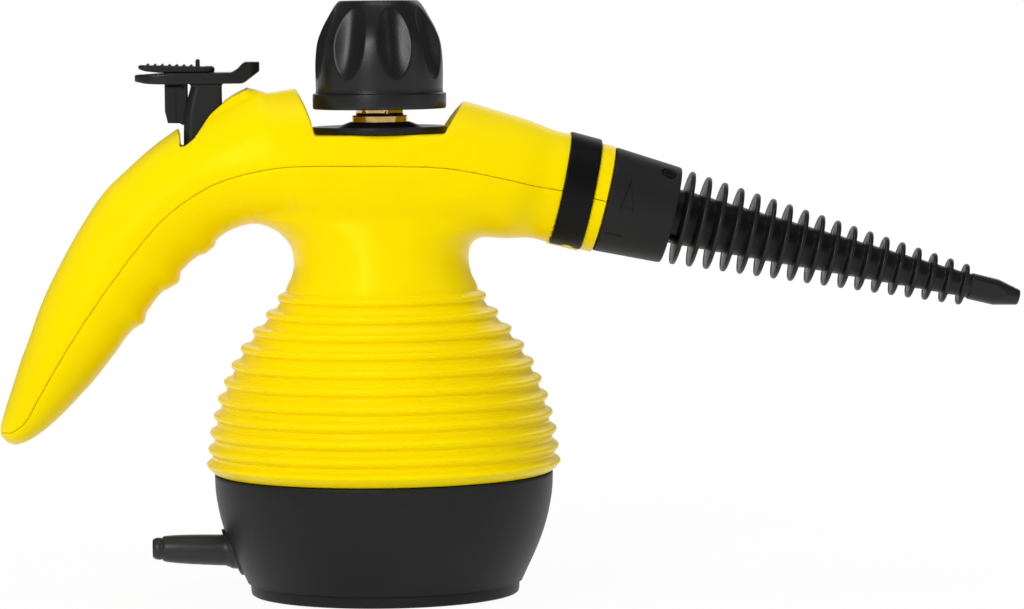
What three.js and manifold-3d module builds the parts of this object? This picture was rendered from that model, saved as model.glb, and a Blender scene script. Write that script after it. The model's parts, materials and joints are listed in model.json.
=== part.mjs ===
// Hand-held steam cleaner: a ribbed round water housing that grows into an arched handle and a spout,
// on a black base, with a screwed safety cap, a thumb lever with a sliding lock, and a ribbed hose.
// Millimetres, +Z up, +X towards the hose. The origin is under the cap's axis, on the floor.
import * as THREE from 'three';
import { mergeVertices } from 'three/addons/utils/BufferGeometryUtils.js';
import Module from 'manifold-3d';

const wasm = await Module();
wasm.setup();

// Shared clearances and walls
const seatGap = 0.3; // between two faces that rest on each other
const runGap = 0.6; // beside a piece that slides or turns
const cutOver = 6; // how far a cutter runs past the face it cuts
const wall = 2.4; // yellow housing
const baseWall = 2.6; // black base
const halfTurn = Math.PI;
const fullTurn = 2 * Math.PI;

// How finely round things are drawn
const bodySides = 28;
const insideSides = 16;
const archSides = 16;
const archSteps = 24;
const archInsideSteps = 12;
const neckSides = 20;
const neckSteps = 7;
const smallSides = 12;
const tinySides = 8;
const hoseSides = 12;
const pipeSides = 6;
const pipeInSteps = 14;
const pipeOutSteps = 30;
const heaterSteps = 20;
const coilSides = 4;
const coilStepsPerTurn = 7;
const fluteSides = 12;
const fluteRings = 7;
const hoseBoreRings = 4;

// Base
const footRadius = 53;
const footBevel = 1.6;
const basePlateThickness = 4.3;
const baseTopZ = 47;
const baseTopRadius = 66.4;
const baseLipHeight = 5;
const baseLipThickness = 2;
const baseOpeningRadius = 44.5;
const baseFloorThickness = 2.6;
const baseRadiusShares = [
  [0, 0.815],
  [0.13, 0.85],
  [0.37, 0.919],
  [0.49, 0.952],
  [0.73, 0.985],
  [0.86, 1],
  [1, 1],
];
const baseScrewCount = 3;
const baseScrewCircle = 48.6;
const baseScrewRadius = 1.9;
const baseScrewHeadRadius = 3.4;
const baseScrewHeadHeight = 2;
const baseScrewLength = 12;
const baseScrewSink = 0.6;
const baseBossRadius = 5.2;
const baseBossHeight = 14;
const boilerFootCount = 3;
const boilerFootCircle = 37;
const boilerFootRadius = 4.5;

// Ribbed bell of the housing
const bellRadius = 69.9;
const ribCount = 11;
const ribPitch = 6.59;
const firstRibRise = 3.5; // from the base's top edge to the first rib
const ribDepth = 2;
const ribRimShare = 0.36; // of the pitch, the thickness of a rib's rim
const skirtOverhang = 0.2; // of the bell's lower edge past the base's top edge
// How far each rib stands out, from the neck's radius to the bell's
const ribRadiusShares = [1, 0.978, 0.953, 0.905, 0.852, 0.772, 0.677, 0.56, 0.405, 0.239, 0.0886];
const ribTopShare = 0.5; // of a rib's half rim, above its middle
const ribValleyShare = 0.5; // of the pitch, up to the valley

// Neck between the bell and the arch: height shares from the last rib to the arch's underside,
// then the left edge, right edge and half width as shares of the neck's radius there
const neckRadius = 38.3;
const neckShares = [
  [-0.3, 0.97, 0.97, 0.98],
  [0.08, 0.99, 0.99, 0.99],
  [0.3, 0.924, 0.927, 0.95],
  [0.47, 0.903, 0.901, 0.91],
  [0.63, 0.914, 0.906, 0.87],
  [0.77, 0.958, 0.955, 0.84],
  [0.86, 1.02, 1.05, 0.82],
  [0.95, 1.1, 1.15, 0.8],
  [1.1, 1.3, 1.3, 0.76],
];

// Arch that carries handle, crown and spout
const crownRise = 83.2; // of the arch's top above the last rib
const archReach = 151.5; // from the cap's axis to the handle's tail
const gripRise = 29.3; // of the arch's underside over the fingers, above the last rib
const archHalfWidth = 30;
const archHollowShare = 0.1; // of the arch, solid at the tail
const spoutBellyShare = 0.5; // height of the spout's widest place
// Stations from the tail to the spout. Upper edge and lower edge as shares of the reach and of
// the top's height, half width as a share of the widest, and how high the widest place lies
const archShares = [
  [-0.982, 0.307, -0.949, 0.301, 0.1, 0.5],
  [-0.998, 0.329, -0.918, 0.312, 0.27, 0.5],
  [-0.984, 0.373, -0.875, 0.335, 0.39, 0.5],
  [-0.964, 0.419, -0.832, 0.364, 0.47, 0.5],
  [-0.943, 0.467, -0.786, 0.4, 0.53, 0.5],
  [-0.919, 0.514, -0.743, 0.438, 0.57, 0.5],
  [-0.884, 0.585, -0.687, 0.498, 0.6, 0.5],
  [-0.838, 0.656, -0.628, 0.553, 0.62, 0.5],
  [-0.785, 0.727, -0.564, 0.613, 0.64, 0.5],
  [-0.725, 0.798, -0.503, 0.663, 0.67, 0.49],
  [-0.659, 0.846, -0.446, 0.696, 0.7, 0.48],
  [-0.587, 0.892, -0.393, 0.721, 0.75, 0.46],
  [-0.508, 0.933, -0.343, 0.73, 0.82, 0.44],
  [-0.429, 0.965, -0.29, 0.728, 0.88, 0.41],
  [-0.334, 1, -0.224, 0.719, 0.93, 0.37],
  [-0.287, 0.989, -0.185, 0.713, 0.96, 0.34],
  [-0.238, 0.998, -0.132, 0.711, 0.98, 0.32],
  [-0.132, 1, -0.053, 0.71, 1, 0.3],
  [0, 0.998, 0.033, 0.708, 1, 0.3],
  [0.119, 0.988, 0.119, 0.706, 0.985, 0.31],
  [0.219, 0.971, 0.198, 0.705, 0.95, 0.34],
  [0.302, 0.952, 0.257, 0.703, 0.9, 0.38],
  [0.385, 0.932, 0.323, 0.699, 0.83, 0.43],
];
// Finger steps along the handle's underside
const gripStep = 1.8;
const gripStepShares = [0.292, 0.353, 0.418]; // along the arch, from the tail
const gripStepFrontShare = 0.01; // of the arch, on the crown's side of a step
const gripStepBackShare = 0.022; // of the arch, on the tail's side of a step

// Seam between the lower housing and the top cover
const seamShares = [
  [-1.1, 0.327],
  [-0.986, 0.329],
  [-0.96, 0.332],
  [-0.934, 0.346],
  [-0.914, 0.366],
  [-0.888, 0.402],
  [-0.808, 0.503],
  [-0.722, 0.599],
  [-0.616, 0.704],
  [-0.537, 0.765],
  [-0.426, 0.815],
  [-0.301, 0.84],
  [-0.158, 0.844],
  [0.051, 0.839],
];

// Filler well in the crown
const wellRadius = 33.6;
const wellDraft = 1.2;
const wellFloorDrop = 17.6; // below the crown
const wellFloorThickness = 2.4;
const trayRadius = 26.3;
const trayRimHeight = 1.5;
const trayBossRadius = 15.4;
const trayBossDepth = 4;
const trayConeRadius = 14.7;
const trayConeRise = 2.9;

// Brass filler neck and boiler
const neckTubeRadius = 9;
const neckBoreRadius = 6.9;
const neckHexWidth = 20.6;
const neckHexHeight = 3.2;
const neckSealRadius = 8.6;
const neckSealThickness = 1.2;
const neckFootRadius = 13;
const neckFootHeight = 3;
const boilerRadius = 44;
const boilerFlangeWidth = 8;
const boilerFlangeThickness = 4;
const boilerFloorZ = 24;
const boilerJointZ = 66;
const boilerTopDrop = 2.4; // below the last rib
const boilerWall = 3;
const gasketThickness = 1.2;
const boilerDomeShares = [
  [0.4, 1],
  [0.75, 0.8],
  [0.95, 0.42],
  [1, 0.3],
];
const portOffset = 23;
const portRadius = 5;
const portRise = 4;
const heaterCircle = 29;
const heaterRadius = 3.3;
const heaterTurnShare = 0.82;
const thermostatRadius = 8;
const thermostatHeight = 6;
const fuseSize = 9;
const fuseThickness = 5;
const terminalLength = 14;
const terminalWidth = 16;
const terminalHeight = 9;
const terminalOffset = 21;

// Steam valve, pipes and outlet
const valveX = -74.5;
const valveLength = 13;
const valveWidth = 15;
const valveDrop = 54.5; // of its underside, below the arch's top
const valveHeight = 14.2;
const valveSeatHeight = 11;
const pipeRadius = 2.2;
const pipeLift = 9.5; // of the pipes above the valve's underside
const pipeAside = 16;
// Route of the pipe into the valve, from the boiler's port: along to the valve, and up
const pipeInShares = [
  [0, 0],
  [0, 0.5],
  [0.1, 0.92],
  [0.45, 1],
  [1, 1],
];
// Route of the pipe out, from the valve to the outlet: along, out to the side, and up
const pipeOutShares = [
  [0, 0, 0],
  [0, 0.3, 0],
  [0.044, 0.75, 0],
  [0.18, 1, 0.4],
  [0.565, 1, 1],
  [0.785, 0.54, 1.27],
  [0.9, -0.42, 1.35],
];
const stemRadius = 2.4;
const stemCollarRadius = 4.6;
const stemCollarThickness = 1.4;
const stemTipShare = 0.8; // of the stem's radius
const stemBoreDepth = 9;
const stemReach = 12.3; // above the valve body
const stemTail = 5; // inside the valve body
const springWire = 0.5;
const valveSpringRadius = 3.7;
const valveSpringTurns = 3;

// Thumb lever with its lock
const leverRearX = -96.7;
const leverLength = 49.4;
const leverLift = 1.9; // of its underside, above the arch's top
const leverRise = 8.2;
const leverHalfWidth = 10;
const leverTopShare = 0.53; // of the lever's rise, the top of its flat part
const leverPlanShares = [1.04, 1.3]; // of its half length and half width, for its rounded plan
const leverShares = [
  [0, 0.24],
  [0.1, 0.09],
  [0.3, 0],
  [0.73, 0],
  [0.855, 0.04],
  [0.965, 0.6],
  [1, 0.68],
  [0.995, 1],
  [0.885, 1],
  [0.85, 0.9],
  [0.785, 0.52],
  [0.3, leverTopShare],
  [0, leverTopShare],
];
const postRearTopX = -74.6;
const postRearX = -77.9;
const postFrontX = -62.5;
const postHalfWidth = 8;
const postWall = 1.9;
const postWeb = 4;
const pivotX = -58.4;
const pivotDrop = 10.6; // below the arch's top
const pivotRadius = 1.5;
const pivotBossRadius = 3.3;
const pivotHalfLength = 12.4;
const slotRearX = -80.3;
const slotHalfWidth = 8.7;
const slotWall = 3.2;
const slotFrontX = -61.4;
const slotPocketX = -54.2;
const slotPocketDrop = 6.4; // of its roof, below the arch's top
const slotFloorDrop = 1.3; // below the post
const notchPeakX = -80.7;
const notchDepth = 22.5; // below the arch's top
// Notch behind the crown: shares from its peak to the crown, and from its floor to the arch's top
const notchWidth = 27;
const notchShares = [
  [0, 0.38],
  [0.02, 0.02],
  [0.14, 0.03],
  [0.29, 0.15],
  [0.42, 0.32],
  [0.58, 0.54],
  [0.71, 0.74],
  [0.84, 0.87],
  [0.95, 0.94],
  [0.95, 1.4],
  [0, 1.4],
];
const lockRearX = -95;
const lockLength = 29.6;
const lockBottomRise = 0.3; // above the lever's top face
const lockHeight = 3;
const lockHalfWidth = 7;
const lockSlopeShare = 0.28; // of its height, that its top falls towards the front
const lockRibCount = 7;
const lockRibHeight = 0.8;
const lockRibWidth = 1;
const lockNubX = -72;
const lockNubWidth = 1.8;
const lockNubHeight = 3.4;
const tongueRearX = -84.7;
const tongueFrontX = -76;
const tongueDrop = 13; // of its lower end, below the arch's top
const tongueHalfWidth = 4.4;
const tongueChamfer = 1.6;
const lockTravel = 5;
const lockShares = [
  [0.02, 0.45],
  [0.25, 0.1],
  [0.5, 0],
  [1, 0.03],
  [1, 0.62],
  [0.9, 0.72],
  [0.02, 1],
  [0, 0.72],
];

// Safety cap
const capDrop = 8.4; // of its lower edge, below the arch's top
const capHeight = 42.6;
const capRadius = 26.3;
const capBodyShare = 0.957; // of its radius, above the skirt
const capShares = [
  [0, 1],
  [0.135, 1],
  [0.155, capBodyShare],
  [0.34, 0.96],
  [0.48, 0.95],
  [0.615, 0.916],
  [0.735, 0.84],
  [0.84, 0.749],
  [0.95, 0.654],
  [0.988, 0.6],
  [1, 0.55],
];
const capWall = 2.6;
const capTopWall = 3;
// Inside of the cap's dome: where its wall bends in, and its roof's radius
const capInsideBendShare = 0.5;
const capInsideShoulderShare = 0.76;
const capRoofRadiusShare = 0.48;
const fluteCount = 8;
const fluteHeight = 32;
const fluteWidth = 16;
const fluteRadialSize = 12;
const fluteDepth = 2.4;
const fluteMiddleShare = 0.57;
const fluteTurnDegrees = 14;
const retainerThickness = 3;
const retainerBoreRadius = 10.1;
const retainerRise = 3;
const plugHexWidth = 16.6;
const plugHexHeight = 4;
const plugShankRadius = 8.5;
const plugHeadRadius = 12;
const plugHeadHeight = 8;
const plugNoseRadius = 4;
const plugNoseHeight = 5;
const plugThreadRadius = 6.3;
const plugThreadLength = 15;
const plugStudRadius = 2.6;
const capGasketThickness = 2;
const capSpringRadius = 6;
const capSpringTurns = 4;
const capPressTravel = 2.5;

// Spout, in its own frame: distances along its axis from the black band
const spoutTiltDegrees = 14;
const spoutX = 71.2;
const spoutDrop = 41.1; // of the middle of its root, below the arch's top
const spoutRadius = 21.5;
const spoutRootLength = 8;
const bandWidth = 11.5;
const bandThickness = 1.5;
const bandProud = 0.7;
const bandHoleRadius = 2.6;
const bandHoleShare = 0.62; // of the band's width, at its underside
const spoutRingWidth = 5.5;
const spoutRingRadius = 21.2;
const bayonetLength = 10;
const bayonetRadius = 16.5;
const bayonetBoreRadius = 12;
const lugCount = 3;
const lugHeight = 1.1;
const lugLength = 3.5;
const lugSpan = 7;
const spoutWebThickness = 3;
const outletRadius = 4.4;
const outletBore = 1.6;
const outletFlangeRadius = 8;
const outletFlangeThickness = 3;
const outletTail = 13;
const connectorLength = 27;
const connectorRootRadius = 20.7;
const connectorEndRadius = 19.1;
const connectorBoreRadius = 18.4;
const connectorBoreDepth = 11;
const connectorWebThickness = 2.4;
const connectorCavityRadius = 15.2;
const connectorEndWall = 2.4;
const connectorChamfer = 1.2;
const sealThickness = 2.2;
const sealRadius = 7.4;
const connectorScrewTurnDegrees = 57;
const connectorScrewRadius = 1.6;
const connectorScrewHeadRadius = 2.5;
const connectorScrewHeadHeight = 1.2;
const connectorBossRadius = 3.4;
const connectorBossRise = 1;
const connectorScrewInset = 5.2;

// Hose
const hoseRibCount = 18;
const hoseRibPitch = 6.69;
const hoseFirstRib = 4.6; // from the connector's end to the first rib
const hoseFirstRibRadius = 18.4;
const hoseLastRibRadius = 7.9;
const hoseRibThickness = 1.5;
const hoseCoreStart = 10.85;
const hoseCoreEnd = 4.9;
const hoseBoreStart = 4.6;
const hoseBoreEnd = 3.6;
const hoseEnd = 3; // past the last rib
const hoseFlangeRadius = 14;
const hoseFlangeThickness = 2.6;
const tubeRadius = 3;
const tubeBore = 1.7;
const tubeCollarRadius = 7;
const tubeCollarThickness = 2.6;
const tipLength = 21;
const tipRootRadius = 5.2;
const tipEndRadius = 3;
const tipSocketDepth = 4;
const tipBore = 1.1;
const tipFlatShare = 0.86; // of its root radius, from its axis
const tipTaperShare = 0.52; // of its length, before the taper
const tipFlatStartShare = 0.06;
const tipFlatEndShare = 0.72;

// Cord inlet sleeve
const sleeveZ = 16.7;
const sleeveReach = 91.5;
const sleeveInner = 52;
const sleeveRadius = 6.3;
const sleeveEndRadius = 5.3;
const sleeveCollarRadius = 4.6;
const sleeveCollarLength = 4.5;
const sleeveCollarBevel = 1.1;
const sleeveBore = 3.7;
const sleeveFlangeRadius = 9.2;
const sleeveFlangeThickness = 1.5;
const sleeveGrommetRadius = 8.4;

// Heights and places that follow from the sizes above
const baseShellZ = basePlateThickness + seatGap;
const bellBottomZ = baseTopZ + seatGap;
const skirtRadius = baseTopRadius + skirtOverhang;
const firstRibZ = baseTopZ + firstRibRise;
const lastRibZ = firstRibZ + (ribCount - 1) * ribPitch;
const boilerTopZ = lastRibZ - boilerTopDrop;
const archGripHeight = lastRibZ + gripRise;
const archTopZ = lastRibZ + crownRise;
const valveBottomZ = archTopZ - valveDrop;
const leverBottomZ = archTopZ + leverLift;
const pivotZ = archTopZ - pivotDrop;
const slotPocketTopZ = archTopZ - slotPocketDrop;
const notchFloorZ = archTopZ - notchDepth;
const tongueBottomZ = archTopZ - tongueDrop;
const capBottomZ = archTopZ - capDrop;
const spoutZ = archTopZ - spoutDrop;
const wellFloorZ = archTopZ - wellFloorDrop;
const boilerFlangeRadius = boilerRadius + boilerFlangeWidth;
const trayBottomZ = wellFloorZ + seatGap;
const trayTopZ = trayBottomZ + trayRimHeight;
const neckHexZ = trayTopZ + trayConeRise - seatGap;
const neckHexTopZ = neckHexZ + neckHexHeight;
const plugHexZ = neckHexTopZ + seatGap;
const leverTopZ = leverBottomZ + leverTopShare * leverRise;
const valveTopZ = valveBottomZ + valveHeight;
const postBottomZ = valveTopZ + stemReach;
const slotBottomZ = postBottomZ - slotFloorDrop;
const grooveRadius = spoutRadius + bandProud - bandThickness - seatGap;
const ringStart = bandWidth;
const ringEnd = ringStart + spoutRingWidth;
const bayonetEnd = ringEnd + bayonetLength;
const connectorStart = ringEnd + runGap;
const connectorEnd = connectorStart + connectorLength;
const connectorWebStart = connectorStart + connectorBoreDepth;
const connectorWebEnd = connectorWebStart + connectorWebThickness;
const connectorCavityEnd = connectorEnd - connectorEndWall;
const hoseRibStart = connectorEnd + hoseFirstRib;
const hoseRibEnd = hoseRibStart + (hoseRibCount - 1) * hoseRibPitch;
const hoseCoverEnd = hoseRibEnd + hoseEnd;
const tipStart = hoseCoverEnd + seatGap;

// Colours
const yellow = new THREE.MeshStandardMaterial({ color: 0xfbe400, roughness: 0.34, metalness: 0 });
const black = new THREE.MeshStandardMaterial({ color: 0x2b2b2c, roughness: 0.5, metalness: 0 });
const deepBlack = new THREE.MeshStandardMaterial({ color: 0x121213, roughness: 0.45, metalness: 0 });
const rubber = new THREE.MeshStandardMaterial({ color: 0x1e1e1f, roughness: 0.7, metalness: 0 });
const brass = new THREE.MeshStandardMaterial({ color: 0xc89b4a, roughness: 0.28, metalness: 1 });
const steel = new THREE.MeshStandardMaterial({ color: 0xb9bcc0, roughness: 0.3, metalness: 1 });
const castMetal = new THREE.MeshStandardMaterial({ color: 0x9da0a3, roughness: 0.5, metalness: 1 });
const silicone = new THREE.MeshStandardMaterial({ color: 0xb4442f, roughness: 0.6, metalness: 0 });
const ceramic = new THREE.MeshStandardMaterial({ color: 0xe8e4da, roughness: 0.6, metalness: 0 });

const cleaner = new THREE.Group();
const spoutGroup = new THREE.Group();
const spoutTilt = THREE.MathUtils.degToRad(spoutTiltDegrees);
spoutGroup.position.set(spoutX, 0, spoutZ);
spoutGroup.rotation.set(0, halfTurn / 2 + spoutTilt, 0);
spoutGroup.updateMatrix();
cleaner.add(spoutGroup);

// A closed geometry as a solid, with its faces turned outwards
function solid(geometry) {
  const bare = geometry.clone();
  bare.deleteAttribute('normal');
  bare.deleteAttribute('uv');
  const merged = mergeVertices(bare, 1e-4);
  const at = merged.attributes.position.array;
  const index = merged.index.array;
  const kept = [];
  for (let i = 0; i < index.length; i += 3) {
    const [a, b, c] = [index[i], index[i + 1], index[i + 2]];
    if (a !== b && b !== c && c !== a) kept.push(a, b, c);
  }
  if (signedVolume(at, kept) < 0) {
    for (let i = 0; i < kept.length; i += 3) [kept[i + 1], kept[i + 2]] = [kept[i + 2], kept[i + 1]];
  }
  return new wasm.Manifold(
    new wasm.Mesh({
      numProp: 3,
      vertProperties: new Float32Array(at),
      triVerts: new Uint32Array(kept),
    }),
  );
}

function signedVolume(at, index) {
  const corner = [new THREE.Vector3(), new THREE.Vector3(), new THREE.Vector3()];
  let sum = 0;
  for (let i = 0; i < index.length; i += 3) {
    corner.forEach((v, k) => v.fromArray(at, 3 * index[i + k]));
    sum += corner[0].dot(corner[1].cross(corner[2]));
  }
  return sum;
}

function geometryOf(made) {
  const mesh = made.getMesh();
  const count = mesh.vertProperties.length / mesh.numProp;
  const at = new Float32Array(3 * count);
  for (let i = 0; i < count; i++) {
    for (let k = 0; k < 3; k++) at[3 * i + k] = mesh.vertProperties[i * mesh.numProp + k];
  }
  const geometry = new THREE.BufferGeometry();
  geometry.setAttribute('position', new THREE.BufferAttribute(at, 3));
  geometry.setIndex(new THREE.BufferAttribute(new Uint32Array(mesh.triVerts), 1));
  geometry.computeVertexNormals();
  return geometry;
}

function place(name, shape, material, group = cleaner) {
  const geometry = shape.isBufferGeometry ? shape : geometryOf(shape);
  const mesh = new THREE.Mesh(geometry, material);
  mesh.name = name;
  group.add(mesh);
  return mesh;
}

// A profile of [radius, height] points turned round the vertical axis
function turned(profile, sides = bodySides) {
  const points = profile.map(([r, z]) => new THREE.Vector2(r, z));
  const made = new THREE.LatheGeometry(points, sides);
  made.rotateX(halfTurn / 2);
  return made;
}

// A ring profile, closed on itself
function turnedRing(profile, sides = bodySides) {
  return turned([...profile, profile[0]], sides);
}

function rod(radius, low, high, sides = smallSides) {
  return turned([[0, low], [radius, low], [radius, high], [0, high]], sides);
}

function pipeRing(inner, outer, low, high, sides = smallSides) {
  return turnedRing([[inner, low], [outer, low], [outer, high], [inner, high]], sides);
}

function hexagon(width, low, high) {
  return rod(width / Math.sqrt(3), low, high, 6);
}

function block(lowX, highX, lowY, highY, lowZ, highZ) {
  const made = new THREE.BoxGeometry(highX - lowX, highY - lowY, highZ - lowZ);
  made.translate((lowX + highX) / 2, (lowY + highY) / 2, (lowZ + highZ) / 2);
  return made;
}

// A side outline of [x, z] points, as thick as from -halfWidth to halfWidth
function sideways(outline, halfWidth) {
  const shape = new THREE.Shape(outline.map(([x, z]) => new THREE.Vector2(x, z)));
  const made = new THREE.ExtrudeGeometry(shape, { depth: 2 * halfWidth, bevelEnabled: false });
  made.rotateX(halfTurn / 2);
  made.translate(0, halfWidth, 0);
  return made;
}

// A rod across the object, along Y
function crossRod(radius, x, z, halfLength, sides = smallSides) {
  const made = rod(radius, -halfLength, halfLength, sides);
  made.rotateX(halfTurn / 2);
  made.translate(x, 0, z);
  return made;
}

// Rings of as many points each, skinned and closed at both ends
function loft(rings) {
  const sides = rings[0].length;
  const at = [];
  const index = [];
  rings.forEach((ring) => ring.forEach((p) => at.push(p.x, p.y, p.z)));
  for (let k = 0; k + 1 < rings.length; k++) {
    for (let i = 0; i < sides; i++) {
      const a = k * sides + i;
      const b = k * sides + ((i + 1) % sides);
      index.push(a, b, b + sides, a, b + sides, a + sides);
    }
  }
  const closeEnd = (ring, first, turn) => {
    const middle = new THREE.Vector3();
    ring.forEach((p) => middle.addScaledVector(p, 1 / sides));
    const centre = at.length / 3;
    at.push(middle.x, middle.y, middle.z);
    for (let i = 0; i < sides; i++) {
      const a = first + i;
      const b = first + ((i + 1) % sides);
      if (turn) index.push(centre, b, a);
      else index.push(centre, a, b);
    }
  };
  closeEnd(rings[0], 0, true);
  closeEnd(rings[rings.length - 1], (rings.length - 1) * sides, false);
  const geometry = new THREE.BufferGeometry();
  geometry.setAttribute('position', new THREE.Float32BufferAttribute(at, 3));
  geometry.setIndex(index);
  return geometry;
}

// A round tube along a smooth route
function tubeAlong(points, radius, steps, sides = pipeSides) {
  const path = new THREE.CatmullRomCurve3(points, false, 'centripetal');
  const section = new THREE.Shape();
  for (let i = 0; i < sides; i++) {
    const turn = (fullTurn * i) / sides;
    const [x, y] = [radius * Math.cos(turn), radius * Math.sin(turn)];
    if (i === 0) section.moveTo(x, y);
    else section.lineTo(x, y);
  }
  section.closePath();
  return new THREE.ExtrudeGeometry(section, { steps, bevelEnabled: false, extrudePath: path });
}

// A coil spring standing on its lower end
function coil(radius, wire, low, high, turns) {
  const points = [];
  const steps = turns * coilStepsPerTurn;
  for (let i = 0; i <= steps; i++) {
    const share = i / steps;
    const turn = fullTurn * turns * share;
    const z = low + wire + (high - low - 2 * wire) * share;
    points.push(new THREE.Vector3(radius * Math.cos(turn), radius * Math.sin(turn), z));
  }
  return tubeAlong(points, wire, steps, coilSides);
}

function joined(...solids) {
  return solids.reduce((sum, next) => sum.add(next));
}

function inSpoutFrame(geometry) {
  return geometry.applyMatrix4(spoutGroup.matrix);
}

// Places spread evenly on a circle
function around(count, radius, startTurn, make) {
  const made = [];
  for (let i = 0; i < count; i++) {
    const turn = startTurn + (fullTurn * i) / count;
    made.push(make(radius * Math.cos(turn), radius * Math.sin(turn), turn));
  }
  return made;
}

// Outer profile of the base, grown outwards by some distance
function baseProfile(grown) {
  const height = baseTopZ - baseShellZ;
  return baseRadiusShares.map(([up, out]) => [baseTopRadius * out + grown, baseShellZ + height * up]);
}

function screwPlaces(make) {
  return around(baseScrewCount, baseScrewCircle, 0, make);
}

function baseShell() {
  const outside = baseProfile(0);
  const inside = baseProfile(-baseWall).filter((_, i) => i % 2 === 1).reverse();
  const lipRadius = baseTopRadius - wall - 2 * seatGap;
  const floorZ = baseShellZ + baseFloorThickness;
  const shell = solid(
    turnedRing([
      [baseOpeningRadius, baseShellZ],
      ...outside,
      [lipRadius, baseTopZ],
      [lipRadius, baseTopZ + baseLipHeight],
      [lipRadius - baseLipThickness, baseTopZ + baseLipHeight],
      ...inside,
      [inside[inside.length - 1][0], floorZ],
      [baseOpeningRadius, floorZ],
    ]),
  );
  const bosses = screwPlaces((x, y) =>
    solid(rod(baseBossRadius, baseShellZ, baseShellZ + baseBossHeight).translate(x, y, 0)),
  );
  const pilots = screwPlaces((x, y) =>
    solid(rod(baseScrewRadius + seatGap, -cutOver, basePlateThickness + baseScrewLength).translate(x, y, 0)),
  );
  const inletTop = sleeveRadius + seatGap;
  const inlet = solid(
    rod(inletTop, -sleeveReach, -baseOpeningRadius, smallSides).rotateY(halfTurn / 2).translate(0, 0, sleeveZ),
  );
  let made = joined(shell, ...bosses);
  pilots.forEach((pilot) => (made = made.subtract(pilot)));
  return made.subtract(inlet);
}

function basePlate() {
  const plate = solid(
    turned([
      [0, 0],
      [footRadius - footBevel, 0],
      [footRadius, footBevel],
      [footRadius, basePlateThickness],
      [0, basePlateThickness],
    ]),
  );
  const feet = around(boilerFootCount, boilerFootCircle, 0, (x, y) =>
    solid(rod(boilerFootRadius, 0, boilerFloorZ - seatGap, tinySides).translate(x, y, 0)),
  );
  const headTop = baseScrewSink + baseScrewHeadHeight + seatGap;
  const holes = screwPlaces((x, y) =>
    joined(
      solid(rod(baseScrewRadius + seatGap, -cutOver, cutOver).translate(x, y, 0)),
      solid(rod(baseScrewHeadRadius + seatGap, -cutOver, headTop).translate(x, y, 0)),
    ),
  );
  let made = joined(plate, ...feet);
  holes.forEach((hole) => (made = made.subtract(hole)));
  return made;
}

function baseScrew() {
  const headTop = baseScrewSink + baseScrewHeadHeight;
  const tip = baseScrewLength + baseScrewSink;
  return turned(
    [
      [0, baseScrewSink],
      [baseScrewHeadRadius, baseScrewSink],
      [baseScrewHeadRadius, headTop],
      [baseScrewRadius, headTop],
      [baseScrewRadius, tip - baseScrewRadius],
      [0, tip],
    ],
    tinySides,
  );
}

function cordSleeve() {
  const band = (outer, inner) =>
    solid(turned([[0, 0], ...baseProfile(outer), [0, baseTopZ]])).subtract(
      solid(turned([[0, -cutOver], ...baseProfile(inner), [0, baseTopZ + cutOver]])),
    );
  const lying = (geometry) => solid(geometry.rotateY(-halfTurn / 2).translate(0, 0, sleeveZ));
  const flange = band(seatGap + sleeveFlangeThickness, seatGap).intersect(
    lying(rod(sleeveFlangeRadius, sleeveInner, sleeveReach)),
  );
  const grommet = band(-baseWall - seatGap, -baseWall - seatGap - sleeveFlangeThickness).intersect(
    lying(rod(sleeveGrommetRadius, sleeveInner, sleeveReach)),
  );
  const tube = lying(
    turned(
      [
        [0, sleeveInner],
        [sleeveRadius, sleeveInner],
        [sleeveRadius, baseTopRadius],
        [sleeveEndRadius, sleeveReach - sleeveCollarLength],
        [sleeveCollarRadius, sleeveReach - sleeveCollarLength],
        [sleeveCollarRadius, sleeveReach - sleeveCollarBevel],
        [sleeveCollarRadius - sleeveCollarBevel, sleeveReach],
        [0, sleeveReach],
      ],
      smallSides,
    ),
  );
  const bore = lying(rod(sleeveBore, sleeveInner - cutOver, sleeveReach + cutOver, tinySides));
  return joined(tube, flange, grommet).subtract(bore);
}

// Ribs of the bell: each has a rim between two valleys
function ribRadius(i) {
  return neckRadius + (bellRadius - neckRadius) * ribRadiusShares[i];
}

function bellProfile() {
  const rim = (ribPitch * ribRimShare) / 2;
  const profile = [[skirtRadius, bellBottomZ]];
  for (let i = 0; i < ribCount; i++) {
    const z = firstRibZ + i * ribPitch;
    const radius = ribRadius(i);
    const next = i + 1 < ribCount ? ribRadius(i + 1) : neckRadius + ribDepth;
    profile.push([radius, z - rim], [radius, z + rim * ribTopShare]);
    profile.push([(radius + next) / 2 - ribDepth, z + ribPitch * ribValleyShare]);
  }
  return profile;
}

function bellInsideProfile() {
  const profile = [[skirtRadius - wall, bellBottomZ - cutOver]];
  for (let i = 0; i < ribCount; i += 2) {
    const z = firstRibZ + i * ribPitch;
    profile.push([ribRadius(i) - ribDepth - wall, z]);
  }
  profile.push([neckRadius - wall, lastRibZ + ribPitch]);
  return profile;
}

function bell() {
  const profile = bellProfile();
  return solid(turned([[0, bellBottomZ], ...profile, [0, profile[profile.length - 1][1]]]));
}

function bellHollow() {
  const profile = bellInsideProfile();
  return solid(turned([[0, profile[0][1]], ...profile, [0, profile[profile.length - 1][1]]]));
}

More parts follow.
